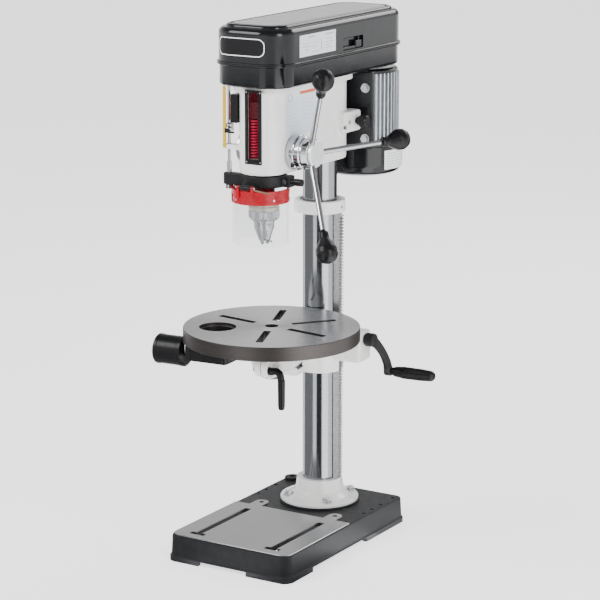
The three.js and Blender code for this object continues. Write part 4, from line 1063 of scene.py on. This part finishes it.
def add_oscillator():
    block = across_window(8.8, (-THROAT - 39.4, -THROAT - 21.7), (788.2, 815.8), 1)
    grooves = [across_window(6, (-THROAT - 41, -THROAT - 38.6), (z, z + 1.6), 0)
               for z in (793, 799, 805, 811)]
    piece("stroke_block", carve(block, *grooves), RED_DARK, "oscillator", "red_plastic", "oscillator_block")
    last = COIL_TURNS * COIL_STEPS
    points = [(*on_circle(COIL_R, 2 * math.pi * k / COIL_STEPS, COIL_AT), COIL_LOW + COIL_HEIGHT * k / last)
              for k in range(last + 1)]
    coil = sweep_tube(points, [COIL_WIRE] * len(points), 10)
    coil = piece("coil_spring", coil, RED_COIL, "stand", "red_plastic", "oscillator_spring")
    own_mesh(coil)


def add_left_side():
    front, back = -THROAT - 34.5, -THROAT - 2.5
    box = carve(slab((-46, -33), (front, back), (777.2, 826.8), 1),
                slab((-47, -36), (front + 6.5, back - 6.5), (783, 821), 0))
    piece("switch_body", box, PLASTIC, "stand", "black_plastic", "switch_box")
    # The paddle's section in X and Z, turned on its side to be drawn along Y.
    section = eased([(-42.2, 785.2), (-51.5, 787.2, 1), (-48.4, 802, 6), (-50.7, 816.6, 1), (-42.2, 818.7),
                     (-41.2, 802)])
    paddle = prism([(z, -x) for x, z in section], -THROAT - 27.3, -THROAT - 9.7, "y")
    paddle.data.transform(Matrix(((0, 0, 1, 0), (0, 1, 0, 0), (1, 0, 0, 0), (0, 0, 0, 1))))
    piece("switch_rocker", paddle, RED, "switch", "red_plastic", "switch_paddle")

    cap = lathe([(0, -62), (24, -62, 1), (25.5, -61.4, 1), (28.9, -59, 2), (28.9, -46.4, 0.5), (0, -46.4)],
                "x", FEED_AXIS)
    bores = [bore("x", 1.6, -64, -60.5, (0, *on_circle(15, a, (FEED.y, FEED.z))), 24) for a in (0.3, 3.44)]
    cap = merge(carve(cap, *bores), hexagon("x", 12, -62, -58, FEED_AXIS))
    piece("spring_cap", cap, ZINC, "stand", "zinc_plate", "spring_housing")


def add_depth_stop():
    shaft = lathe([(0, 660), (6.9, 660, 0.6), (6.9, 666.9, 0.6), (4.1, 667), (4.1, 707.5, 0.5), (2.7, 708),
                   (2.7, 841.5, 0.6), (0, 841.5)], at=ROD_AT, segments=48)
    piece("depth_screw", shaft, CHROME, "quill", "yellow_zinc", "depth_rod")
    scale = slab((ROD_X - 7.4, ROD_X - 0.7), (ROD_Y - 8.8, ROD_Y - 8.3), (732, 839), 0.15)
    marks = []
    for k in range(46):
        right, wide, z = ROD_X - 0.9, 1.3 if k % 5 else 2.6, 744 + k * 2
        marks.append(slab((right - wide, right), (ROD_Y - 8.9, ROD_Y - 8.7), (z, z + 0.35), 0))
    piece("depth_scale", scale, YELLOW, "stand", "white_paint")
    piece("depth_scale_marks", merge(*marks), PLASTIC, "stand", "white_paint")
    nut = lathe([(4.7, 761), (8, 761.2, 0.6), (8.1, 766, 1), (7.2, 768), (8.1, 770, 0.6), (8.1, 773.5, 0.8),
                 (4.7, 774)], at=ROD_AT, segments=40)
    piece("depth_nut", nut, CHROME, "depth_stop", "zinc_plate", "depth_collar")
    sheet = (ROD_Y - 10.8, ROD_Y - 9.1)
    pointer = merge(slab((ROD_X + 1.2, -41.2), sheet, (758.2, 761.8), 0.6),
                    slab((ROD_X - 2.8, ROD_X + 2.8), sheet, (758.2, 765.8), 0.6),
                    slab((ROD_X + 1.4, ROD_X + 4.6), (ROD_Y - 10, ROD_Y - 5), (760.4, 765), 0.4))
    piece("depth_pointer", pointer, PLASTIC, "depth_stop", "zinc_plate")


# ---- belt case ----------------------------------------------------------------------------
CASE_TOP = machine_box("case_lid")[1].z
CASE_HALF, CASE_FRONT, CASE_BACK, CASE_CORNER, CASE_LIP = 75.7, -254.2, 193.8, 52, 882.9
# The height at which the lid's side rolls over.
SHOULDER = 944


def case_outline(inset):
    return rectangle(-CASE_HALF + inset, CASE_FRONT + inset, CASE_HALF - inset, CASE_BACK - inset,
                     CASE_CORNER - inset, steps=14)


def case_loft(*levels):
    """A solid in the case's outline, from (inset, height) pairs."""
    return loft([(case_outline(inset), z) for inset, z in levels])


def rolled_loft(inset, low, high, radius, steps=10):
    """A wall in the case's outline that rolls over into a flat top."""
    turns = [math.pi / 2 * k / steps for k in range(steps + 1)]
    roll = [(inset + radius * (1 - math.cos(a)), high - radius + radius * math.sin(a)) for a in turns]
    return case_loft((inset, low), *roll)


def add_case():
    wall = case_loft((8, CASE_BOTTOM), (5, CASE_BOTTOM + 2.6), (4.5, CASE_BOTTOM + 6), (4.5, CASE_LIP - 1.5))
    rim = case_loft((0.9, CASE_LIP - 3.2), (0, CASE_LIP - 2.5), (0, CASE_LIP))
    tray = carve(fuse(wall, rim), case_loft((7.6, CASE_BOTTOM + 3.1), (7.6, 1000)),
                 slab((-14, 14), (MOTOR.y - 26, MOTOR.y + 14), (800, 900), 0),
                 bore("z", 22, 800, 900, SPIN, 64), bore("z", 9.7, 800, 900, IDLER_AT))
    piece("case_lower", bevelled(tray, 0.5, 2, 50), BLACK, "stand", "black_paint", "case_tray")

    skin = rolled_loft(3.1, CASE_LIP + 0.4, SHOULDER, 11)
    ridge = rolled_loft(16, SHOULDER - 12, CASE_TOP - 0.1, 5)
    rib = rolled_loft(27, SHOULDER - 12, CASE_TOP - 0.1, 2)
    hollow = case_loft((7.2, CASE_LIP - 20), (7.2, SHOULDER - 10), (14, SHOULDER - 3.5))
    lip = case_loft((0, CASE_LIP + 0.4), (0, CASE_LIP + 2.4), (0.9, CASE_LIP + 3))
    dish = case_loft((24, CASE_TOP - 2.2), (22.6, CASE_TOP + 2))
    top = fuse(carve(fuse(skin, ridge), dish), rib)
    lid = carve(fuse(top, lip), hollow)
    lid = fuse(lid, slab((CASE_HALF - 16, CASE_HALF - 5), (-49, 31), (CASE_LIP + 1, 918), 0))
    pocket = bevelled(slab((CASE_HALF - 12.8, CASE_HALF + 8), (-44, 26), (889, 911), 0), 3, 4)
    lid = carve(lid, pocket)
    piece("case_cover", bevelled(lid, 0.45, 2, 42), BLACK, "lid", "black_paint", "case_lid")
    latch = fuse(slab((CASE_HALF - 12.6, CASE_HALF - 6), (-43.8, 25.8), (889.2, 894), 0.8),
                 slab((CASE_HALF - 12.6, CASE_HALF - 5), (4, 25.8), (889.2, 903), 1.5))
    piece("finger_latch", latch, BLACK, "lid", "black_paint")

    hinge_axis = (LID_HINGE.x, 0, LID_HINGE.z)
    for i, y in enumerate((-40, 120)):
        starts = [y - 21.8 + k * 14.6 for k in range(3)]
        barrel = merge(*[rod("y", 2.8, start, start + 14.2, hinge_axis, 0.3, 32) for start in starts])
        piece(f"lid_hinge_{i + 1}", barrel, DARK_STEEL, "lid", "black_paint")


def dense(points, step=2.5):
    """Adds points along an outline's long edges, so that it can be bent."""
    out = []
    for i, point in enumerate(points):
        after = points[(i + 1) % len(points)]
        count = max(1, round((after - point).length / step))
        out += [point.lerp(after, k / count) for k in range(count)]
    return out


def loop_band(outer, inner, depth):
    """The strip between two outlines of equal count, drawn in X and Z and thickened along Y."""
    bm = bmesh.new()
    rings = [[bm.verts.new((p.x, y, p.y)) for p in outline] for outline in (outer, inner) for y in (0, depth)]
    for a, b in ((0, 1), (1, 3), (3, 2), (2, 0)):
        for k in range(len(outer)):
            m = (k + 1) % len(outer)
            bm.faces.new((rings[a][k], rings[a][m], rings[b][m], rings[b][k]))
    return to_object(bm)


def wrap_to_case(shape, inset, lift):
    """Presses a flat shape, drawn in X and Z with its depth in Y, onto the front of the case."""
    centre_y = CASE_FRONT + CASE_CORNER
    reach = CASE_HALF - CASE_CORNER
    radius = CASE_CORNER - inset
    for vertex in shape.data.vertices:
        x, depth, z = vertex.co
        over = max(0.0, abs(x) - reach)
        if over:
            a = over / radius
            out = radius + lift - depth
            x = math.copysign(reach + out * math.sin(a), x)
            y = centre_y - out * math.cos(a)
        else:
            y = CASE_FRONT + inset - lift + depth
        vertex.co = (x, y, z)
    return shape


# The side label's lines: start and length along Y, and low edge and height.
LABEL_LINES = (
    (-160, 22, 924, 2.2), (-104, 26, 924, 2.2), (-180, 20, 914, 1), (-180, 26, 909, 1), (-172, 14, 903, 1),
    (-145, 16, 914, 1), (-145, 12, 907, 1), (-118, 2.2, 899, 20), (-104, 22, 916, 1), (-104, 27, 911, 1),
    (-104, 20, 906, 1), (-104, 24, 901, 1), (-150, 24, 898.5, 1))


def add_case_labels():
    """Blank plates where the photo has printed ones: the outline stays, the words do not."""
    outer, inner, field = (dense(rectangle(-48.5 + k, -15.5 + k, 48.5 - k, 15.5 - k, 12 - k))
                           for k in (0, 1.7, -1.5))
    border = loop_band(outer, inner, 0.5)
    plate = loop_band(field, [Vector((p.x, p.y * 0.001)) for p in field], 0.4)
    for shape in (border, plate):
        shape.data.transform(Matrix.Translation((-7.5, 0, 913)))
    piece("name_plate_blank", wrap_to_case(plate, 3.1, 0.35), PLATE_BLACK, "lid", "black_paint")
    piece("name_plate_border", wrap_to_case(border, 3.1, 0.7), LABEL_WHITE, "lid", "black_paint")

    x = CASE_HALF - 3.05
    sheet = slab((x - 0.2, x + 0.15), (-188, -69), (893, 930), 0.05)
    piece("case_side_label", sheet, LABEL, "lid", "black_paint")
    lines = [slab((x, x + 0.22), (y, y + w), (z, z + h), 0) for y, w, z, h in LABEL_LINES]
    piece("case_label_lines", merge(*lines), PRINT_GREY, "lid", "black_paint")


# ---- drive --------------------------------------------------------------------------------
PULLEY_BOTTOM = machine_box("idler_pulley")[0].z
PULLEY_TOP = machine_box("idler_pulley")[1].z
STEP = (PULLEY_TOP - PULLEY_BOTTOM) / 4
RIM = 5
SLEEVE_BORE, SHAFT_BORE = 9.3, 8.3
# How far the belt's back and face lie outside a groove's bottom, and its low and high edge in a step.
BELT_BACK, BELT_FACE, BELT_LOW, BELT_HIGH = 4.9, 1.1, 4.1, 11.9
# The radii at the bottom of each belt groove, from the lowest up.
SPINDLE_GROOVES, IDLER_GROOVES, MOTOR_GROOVES = (24, 32, 40, 48), (50, 42, 34, 26), (17, 22, 27, 32)


def add_pulley(name, grooves, y, bore_r, body, node, sleeve=()):
    """A stepped pulley, with the profile of a sleeve below it where it has one."""
    profile = [*(sleeve or [(bore_r, PULLEY_BOTTOM)]), (grooves[0] + RIM, PULLEY_BOTTOM, 0.8)]
    for i, radius in enumerate(grooves):
        low, high = PULLEY_BOTTOM + i * STEP, PULLEY_BOTTOM + (i + 1) * STEP
        profile += [(radius + RIM, low + 1, 0.6), (radius, low + 3.2, 0.8), (radius, high - 3.2, 0.8),
                    (radius + RIM, high - 1, 0.6)]
    edge, dish = grooves[-1] + RIM, PULLEY_TOP - 2.4
    profile += [(edge - 0.4, PULLEY_TOP, 0.5), (edge - 4, PULLEY_TOP, 0.8), (edge - 6, dish, 1),
                (bore_r + 8, dish, 1), (bore_r + 6.4, PULLEY_TOP, 0.8), (bore_r, PULLEY_TOP)]
    piece(name, lathe(profile, at=(0, y, 0), segments=128), ALLOY, body, "motor_alloy", node)


def add_belt(name, level, front, back, node):
    """A flat-sided loop of belt in one groove of each of two pulleys, given as (y, grooves)."""
    step_low = PULLEY_BOTTOM + level * STEP
    (front_y, front_grooves), (back_y, back_grooves) = front, back
    loops = []
    for out, low, high in ((BELT_BACK, BELT_LOW, BELT_HIGH), (BELT_FACE, BELT_LOW - 1.1, BELT_HIGH + 1.1)):
        outline = two_circles(front_grooves[level] + out, back_grooves[level] + out, 60, front_y, back_y)
        loops.append(prism(outline, step_low + low, step_low + high))
    piece(name, bevelled(carve(*loops), 0.7, 2, 40), RUBBER, "stand", "belt_rubber", node)


def add_drive():
    sleeve = [(SLEEVE_BORE, 800), (12, 800, 0.4), (12, 832, 1), (15.3, 832, 0.5), (15.3, PULLEY_BOTTOM)]
    add_pulley("spindle_cone", SPINDLE_GROOVES, -THROAT, SLEEVE_BORE, "spindle_drive", "spindle_pulley",
               sleeve)
    add_pulley("idler_cone", IDLER_GROOVES, IDLER.y, SHAFT_BORE, "idler", "idler_pulley")
    add_pulley("motor_cone", MOTOR_GROOVES, MOTOR.y, SHAFT_BORE, "rotor", "motor_pulley")
    add_belt("front_drive_belt", 1, (-THROAT, SPINDLE_GROOVES), (IDLER.y, IDLER_GROOVES), "front_belt")
    add_belt("rear_drive_belt", 2, (IDLER.y, IDLER_GROOVES), (MOTOR.y, MOTOR_GROOVES), "rear_belt")
    dress(DARK_STEEL, "motor_rotor", "feed_shaft", "bearing_sleeve")
    dress(CHROME, "spindle")


# ---- motor --------------------------------------------------------------------------------
MOTOR_R = 69
MOTOR_AT = (0, MOTOR.y, 0)
FINS = 48
# One fin's outline: how far inside MOTOR_R, and where across the fin's half pitch.
FIN_POINTS = ((7.5, -0.52), (0.5, -0.30), (0.1, 0), (0.5, 0.30), (7.5, 0.52))
VENTS = 16
LABEL_ROW_SWEEPS = (30, 38, 24, 36, 28, 34)
KNOB_FLUTES = 12
KNOB_AXIS = (0, 30, BAR_Z)


def add_motor_mount():
    plate = bevelled(slab((-71.9, 71.9), (60.1, 67.9), (700.1, 839.9), 0), 2.5, 3)
    saddle = slab((-39.8, 39.8), (66, 83.8), (720.2, 825.8), 1.5)
    plate = carve(fuse(plate, saddle), bore("z", MOTOR_R + 0.5, 600, 900, MOTOR_AT, 160))
    piece("motor_mounting_plate", plate, BLACK, "motor_mount", "black_paint", "motor_plate")
    bars = merge(*[rod("y", 5.4, -45.8, 62, (x, 0, BAR_Z), 1, 40) for x in (-BAR_X, BAR_X)])
    piece("slide_bars", bars, CHROME, "motor_mount", "polished_steel")
    bolts = []
    for at in [(x, 0, z) for x in (-58, 58) for z in (719, 810.6)]:
        bolts.append(hexagon("y", 12.5, 54.2, 59.4, at))
        bolts.append(lathe([(0, 59), (8.6, 59, 0.3), (8.6, 60.1, 0.3), (0, 60.1)], "y", at, 40))
    piece("plate_bolts", merge(*bolts), ZINC, "motor_mount", "zinc_plate")


def add_motor():
    half_pitch = math.pi / FINS
    outline = [on_circle(MOTOR_R - inset, i / FINS * 2 * math.pi + share * half_pitch)
               for i in range(FINS) for inset, share in FIN_POINTS]
    fins = carve(prism(outline, 706, 829.8, at=MOTOR_AT), bore("z", 52, 700, 826, MOTOR_AT, 96),
                 bore("z", 8.6, 800, 850, MOTOR_AT))
    piece("motor_fins", fins, ALLOY, "motor_mount", "motor_alloy", "motor_housing", angle=25)
    cover = lathe([(8.6, 830), (62, 830), (65.8, 829.4, 0.5), (65.8, 835, 2), (60, 837.8, 2), (8.6, 837.8)],
                  at=MOTOR_AT, segments=128)
    piece("motor_top_cover", cover, BLACK, "motor_mount", "black_paint")

    bell = lathe([(0, 642), (12, 642, 1), (56, 642.4, 6), (70, 647.5, 12), (75.8, 661, 10), (75.8, 697, 3),
                  (74.9, 698, 0.5), (74.9, 704, 1.2), (68.9, 705.6), (66.2, 705.6), (66.2, 658, 2),
                  (60, 652, 2), (0, 652)], at=MOTOR_AT, segments=160)
    vents = [swung(slab((28, 46), (-1.6, 1.6), (636, 660), 0), 2 * math.pi * k / VENTS, MOTOR_AT)
             for k in range(VENTS)]
    piece("fan_cover", carve(bell, *vents), BLACK, "motor_mount", "black_paint", "motor_end_bell")
    label = lathe([(75.9, 655), (76.05, 655), (76.05, 690), (75.9, 690)], at=MOTOR_AT, segments=40, start=-26,
                  sweep=45.5)
    piece("motor_label", label, LABEL_WHITE, "motor_mount", "black_paint")
    rows = []
    for k, sweep in enumerate(LABEL_ROW_SWEEPS):
        low, high = 684 - k * 5, 684.9 - k * 5
        rows.append(lathe([(76.0, low), (76.12, low), (76.12, high), (76.0, high)], at=MOTOR_AT, segments=16,
                          start=-22, sweep=sweep))
    piece("motor_label_lines", merge(*rows), PRINT_GREY, "motor_mount", "black_paint")


def add_tension_knob():
    knob = lathe([(0, 46), (4.7, 46), (4.7, 59), (7.9, 61, 1), (8.2, 65, 1), (10.9, 66.5, 1), (10.9, 78, 1.5),
                  (8, 80.8, 1), (0, 80.8)], "x", KNOB_AXIS, 64)
    flutes = [bore("x", 1.5, 64, 85, (0, *on_circle(11.6, 2 * math.pi * k / KNOB_FLUTES, KNOB_AXIS[1:])), 16)
              for k in range(KNOB_FLUTES)]
    piece("belt_tension_knob", carve(knob, *flutes), PLASTIC, "tension", "black_plastic", "tension_knob")


# ---- feed handles -------------------------------------------------------------------------
ARM_CONE, ARM_PHASE = math.radians(25.5), math.radians(-32.6)
FEED_PIVOT = Vector((74, FEED.y, FEED.z))
# How far along its arm a knob's middle lies.
KNOB_AT = 187


def on_feed_arm(shape, i):
    """Takes a shape drawn up the Z axis from the feed hub's middle to one of the three arms."""
    a = ARM_PHASE + i * 2 * math.pi / 3
    way = Vector((math.sin(ARM_CONE), math.cos(ARM_CONE) * math.sin(a), math.cos(ARM_CONE) * math.cos(a)))
    return aimed(shape, way, FEED_PIVOT)


def add_feed():
    hub = lathe([(0, 42), (30.8, 42, 2), (30.8, 55.5, 1.5), (29.4, 57, 0.8), (28.6, 59, 0.5), (28.6, 66, 1),
                 (26.6, 67.4, 0.4), (26.6, 70, 0.4), (27.6, 71.4, 0.4), (25.8, 81, 1), (22, 82.4, 0.5),
                 (22, 83.6, 0.4), (0, 83.6)], "x", FEED_AXIS, 128)
    hub = carve(hub, bore("x", 9.4, 30, 62.5, FEED_AXIS))
    piece("feed_barrel", hub, CHROME, "feed", "chrome_plate", "feed_hub")
    face = lathe([(0, 83.4), (23.4, 83.4, 0.4), (23.4, 87.4, 1), (22.3, 88.4, 0.4), (0, 88.4)], "x",
                 FEED_AXIS, 128)
    piece("feed_face", face, BRIGHT, "feed", "chrome_plate")
    arm_profile = [(0, 22), (4.9, 24, 1), (4.9, 33), (4.9, 60), (4.3, 146), (0, 149)]
    # The knob's profile, as heights above its middle.
    knob_profile = [(0, -37.4), (7.4, -37.4, 1), (8.4, -34, 1), (8.7, -24, 4), (13.6, -15, 4), (18.6, -5, 8),
                    (18.9, 6, 10), (14, 15.5, 9), (6, 19.6, 6), (0, 19.8)]
    knob_profile = [(r, KNOB_AT + h, *corner) for r, h, *corner in knob_profile]
    for i in range(3):
        arm = on_feed_arm(lathe(arm_profile, segments=40), i)
        piece(f"feed_rod_{i + 1}", arm, CHROME, "feed", "chrome_plate", f"feed_arm_{i + 1}")
        knob = on_feed_arm(lathe(knob_profile, segments=80), i)
        piece(f"feed_ball_{i + 1}", knob, PLASTIC, "feed", "black_plastic", f"feed_knob_{i + 1}")


# ---- quill, guard and chuck ---------------------------------------------------------------
YOKE_LOW, YOKE_HIGH = 667.7, 688.3
YOKE_MIDDLE = (YOKE_LOW + YOKE_HIGH) / 2
# Heights between which a cutter goes right through the yoke.
THROUGH_YOKE = (600, 700)
GUARD_AT = Vector((SPIN.x, -THROAT - 11, 0))
# The guard is open at the back: where it starts and how far it goes round, in degrees.
GUARD_OPEN = {"segments": 140, "start": 130, "sweep": 280}
RIB_DEGREES = (205, 228, 252, 288, 312, 335)
CATCH_DEGREES = 318
JAW_LEAN = math.radians(16)
JAW_TIP, JAW_TOP = 564, 598
SLEEVE_FLUTES, KEY_TEETH = 60, 18


def add_quill():
    dress(COLUMN_STEEL, "quill_tube")
    ring = rod("z", 39.8, YOKE_LOW, YOKE_HIGH, SPIN, 0, 96)
    left = prism(rectangle(ROD_X - 9.8, ROD_Y - 8.8, -18, ROD_Y + 8.8, 7), YOKE_LOW, YOKE_HIGH)
    right = slab((28, 53.8), (-THROAT - 1.8, -THROAT + 15.8), (YOKE_LOW, YOKE_HIGH), 2)
    foot = slab((-10.8, 10.8), (HINGE.y, -THROAT - 28), (HINGE.z - 3.8, HINGE.z + 3.8), 1)
    pin_boss = rod("x", 3.9, -10.8, 10.8, GUARD_PIN)
    yoke = fuse(cast(fuse(ring, left, right), 1.2, 7), foot, pin_boss)
    yoke = carve(yoke, bore("z", QUILL_BORE, *THROUGH_YOKE, SPIN, 96), bore("z", 4.7, *THROUGH_YOKE, ROD_AT),
                 slab((15, 60), (-THROAT + 6, -THROAT + 8), THROUGH_YOKE, 0))
    piece("quill_yoke", yoke, CRANK_BLACK, "quill", "black_plastic", "quill_bracket", angle=40)
    at = (44, 0, YOKE_MIDDLE)
    screw = merge(rod("y", 2.9, -THROAT - 6, -THROAT + 17, at, 0.4, 32),
                  hexagon("y", 9, -THROAT - 6.8, -THROAT - 1.9, at))
    piece("yoke_clamp_screw", screw, DARK_STEEL, "quill", "dark_steel")
    at = (0, -THROAT + 3, YOKE_MIDDLE)
    lock = merge(rod("x", 4.4, 53.5, 62, at, 0.6, 32), rod("x", 6.4, 61, 76, at, 1.4, 40))
    piece("yoke_lock_knob", lock, PLASTIC, "quill", "black_plastic")
    piece("guard_pin", rod("x", 2.1, -18.9, 18.9, GUARD_PIN, 0.4, 24), ZINC, "quill", "zinc_plate")


def on_guard(shape, degrees, radius, z, off=0):
    """Faces a small part drawn up the Z axis outwards from the guard's wall, `off` to one side."""
    a = math.radians(degrees)
    way = Vector((math.cos(a), math.sin(a), 0))
    return aimed(shape, way, GUARD_AT + way * radius + Vector((-way.y, way.x, 0)) * off + Vector((0, 0, z)))


def add_guard():
    band = lathe([(47.1, 642.1), (50.3, 642.1, 0.6), (50.3, 648, 0.3), (49.8, 648.4, 0.3), (49.8, 658.6, 0.3),
                  (50.3, 659, 0.3), (50.3, 665.8, 0.6), (47.1, 665.8)], at=GUARD_AT, **GUARD_OPEN)
    ears = [fuse(slab(x, (HINGE.y - 3.3, HINGE.y + 3.3), (655, HINGE.z), 0.5),
                 rod("x", 3.4, *x, GUARD_PIN, 0.3, 32)) for x in ((-16.8, -11.7), (11.7, 16.8))]
    ring = carve(fuse(band, *ears), bore("x", 2.6, -30, 30, GUARD_PIN, 32))
    piece("guard_band", ring, RED, "chuck_guard", "red_plastic", "guard_ring")
    ribs = [rod("z", 1.1, 643, 657.5, (*on_circle(50.0, math.radians(degrees), GUARD_AT), 0), 0.3, 16)
            for degrees in RIB_DEGREES]
    piece("guard_ribs", merge(*ribs), RED, "chuck_guard", "red_plastic")
    path = along([(-8, HINGE.y - 1.4, 673.5), (20, HINGE.y + 2.6, 668.5), (41, HINGE.y + 14, 663)])
    strap = sweep_tube(path, [1.5] * len(path), 12)
    piece("guard_spring", strap, STRAP, "chuck_guard", "zinc_plate")
    screw_profile = [(0, -1), (1.9, -1), (1.9, 0.2, 0.3), (0, 0.5)]
    screws = [on_guard(lathe(screw_profile, segments=24), degrees, 50.2, z)
              for degrees, z in ((236, 651), (244, 648.5), (330, 650))]
    piece("guard_screws", merge(*screws), ZINC, "chuck_guard", "zinc_plate")
    shield = lathe([(47.25, 569.2), (49.3, 569.2, 0.6), (49.3, 641.6), (47.25, 641.6)], at=GUARD_AT,
                   **GUARD_OPEN)
    piece("clear_guard", shield, CLEAR, "chuck_guard", "clear_plastic", "guard_shield")
    catch = []
    for off, r, z in ((0, 2.4, 581), (5, 1.7, 580), (-5.5, 1.3, 583)):
        head = lathe([(0, -0.6), (r, -0.6), (r, 0.4, 0.3), (0, 0.9)], segments=24)
        catch.append(on_guard(head, CATCH_DEGREES, 49.2, z, off))
    piece("guard_catch", merge(*catch), DARK_STEEL, "chuck_guard", "dark_steel")


def jaw_point(i, z):
    """Where a jaw's leaning centre line passes a height."""
    a = i * 2 * math.pi / 3 - math.pi / 2
    return Vector((*on_circle(4.8 + (z - JAW_TIP) * math.tan(JAW_LEAN), a, SPIN), z))


def add_chuck():
    body = lathe([(0, 571.2), (9.5, 571.2, 1), (11.5, 577, 2), (17.4, 593, 5), (18.6, 606, 0.5),
                  (21.4, 606.6, 0.5), (21.4, 634, 0.6), (20.6, 635, 0.3), (20.6, 636.4, 0.3),
                  (21.4, 637.4, 0.6), (21.2, 640, 1.5), (15.8, 643.8, 1), (9.2, 643.8), (9.2, 623.2),
                  (0, 623.2)], at=SPIN)
    jaw_bores = [sweep_tube([jaw_point(i, 540), jaw_point(i, 610)], [4.2, 4.2], 32) for i in range(3)]
    cap = lathe([(21.5, 624.6), (26.9, 624.6, 0.5), (26.9, 631.6, 0.5), (24, 632.6, 0.4), (24.4, 639, 0.8),
                 (21.5, 640)], at=SPIN)
    piece("chuck_top_ring", cap, STRAP, "spindle", "dark_steel")
    key_holes = [swung(bore("x", 2.6, 14, 30, (0, 0, 600.5), 32), math.radians(degrees))
                 for degrees in (90, 210, 330)]
    body = carve(body, bore("z", 5.6, 560, 605, SPIN), *jaw_bores, *key_holes)
    piece("chuck_shell", body, CHUCK_STEEL, "spindle", "chuck_steel", "chuck_body")

    outline = [on_circle(27 if k % 2 else 26.3, math.pi * k / SLEEVE_FLUTES)
               for k in range(SLEEVE_FLUTES * 2)]
    lead_in = lathe([(0, 608.2), (24, 608.2, 0.5), (26.8, 612.6, 0.6), (0, 612.6)], at=SPIN)
    sleeve = fuse(prism(outline, 612.5, 624, at=SPIN), lead_in)
    sleeve = carve(sleeve, bore("z", 22.1, 600, 640, SPIN, 96))
    teeth = [swung(slab((22.6, 30), (-1.4, 1.4), (606, 610.6), 0), 2 * math.pi * k / KEY_TEETH)
             for k in range(KEY_TEETH)]
    piece("key_sleeve", carve(sleeve, *teeth), CHUCK_STEEL, "chuck_key_sleeve", "chuck_steel", "chuck_sleeve")
    for i in range(3):
        tip = jaw_point(i, JAW_TIP + 0.6)
        way = jaw_point(i, JAW_TOP) - tip
        jaw = lathe([(0, 0), (2.4, 0, 0.3), (3.5, 3.5, 0.6), (3.5, way.length, 0.4), (0, way.length)], "z",
                    ORIGIN, 32)
        piece(f"jaw_{i + 1}_pin", aimed(jaw, way.normalized(), tip), DARK_STEEL, f"jaw_{i + 1}",
              "chuck_steel", f"chuck_jaw_{i + 1}")


# ---- label on the head --------------------------------------------------------------------
SIDE_SLOPE = (BOSS_R - NOSE_R) / THROAT
# The lines of small print: start and length along Y, and low edge.
PRINT_LINES = (
    (-180, 36, 808), (-180, 30, 803), (-180, 40, 796), (-180, 34, 790), (-180, 26, 784), (-180, 38, 777),
    (-180, 30, 771), (-134, 38, 812), (-134, 32, 806), (-134, 40, 799), (-134, 28, 792), (-134, 36, 785),
    (-134, 30, 778))
MARK_STEPS = 24


def side_patch(y0, y1, z0, z1, out):
    """A thin sheet `out` millimetres off the head's right side."""
    bm = bmesh.new()
    lean = math.cos(math.asin(SIDE_SLOPE))
    corners = [((NOSE_R + SIDE_SLOPE * (y + THROAT)) / lean, y, z)
               for y, z in ((y0, z0), (y1, z0), (y1, z1), (y0, z1))]
    join_rings(bm, [[bm.verts.new((x + proud, y, z)) for x, y, z in corners] for proud in (out, out + 0.12)])
    return to_object(bm)


def add_head_label():
    """The pale side label with plain grey lines and an orange strip, and no words."""
    piece("head_label", side_patch(-184, -90, 753, 829, 0.02), LABEL_PALE, "stand", "white_paint")
    lines = [side_patch(y, y + length, z, z + 0.9, 0.14) for y, length, z in PRINT_LINES]
    piece("head_label_lines", merge(*lines), PRINT_PALE, "stand", "white_paint")
    ring = []
    for k in range(MARK_STEPS):
        a = math.pi * 2 * k / MARK_STEPS
        y, z = -170 + 7 * math.cos(a), 820 + 6 * math.sin(a)
        ring.append(side_patch(y - 1, y + 1, z - 0.7, z + 0.7, 0.14))
    piece("head_label_ring", merge(*ring), PRINT_GREY, "stand", "white_paint")
    piece("head_label_strip", side_patch(-140, -92, 823, 829, 0.3), PRINT_ORANGE, "stand", "white_paint")


add_head()
add_window()
add_oscillator()
add_left_side()
add_depth_stop()
add_case()
add_case_labels()
add_drive()
add_motor_mount()
add_motor()
add_tension_knob()
add_feed()
add_quill()
add_guard()
add_chuck()
add_head_label()
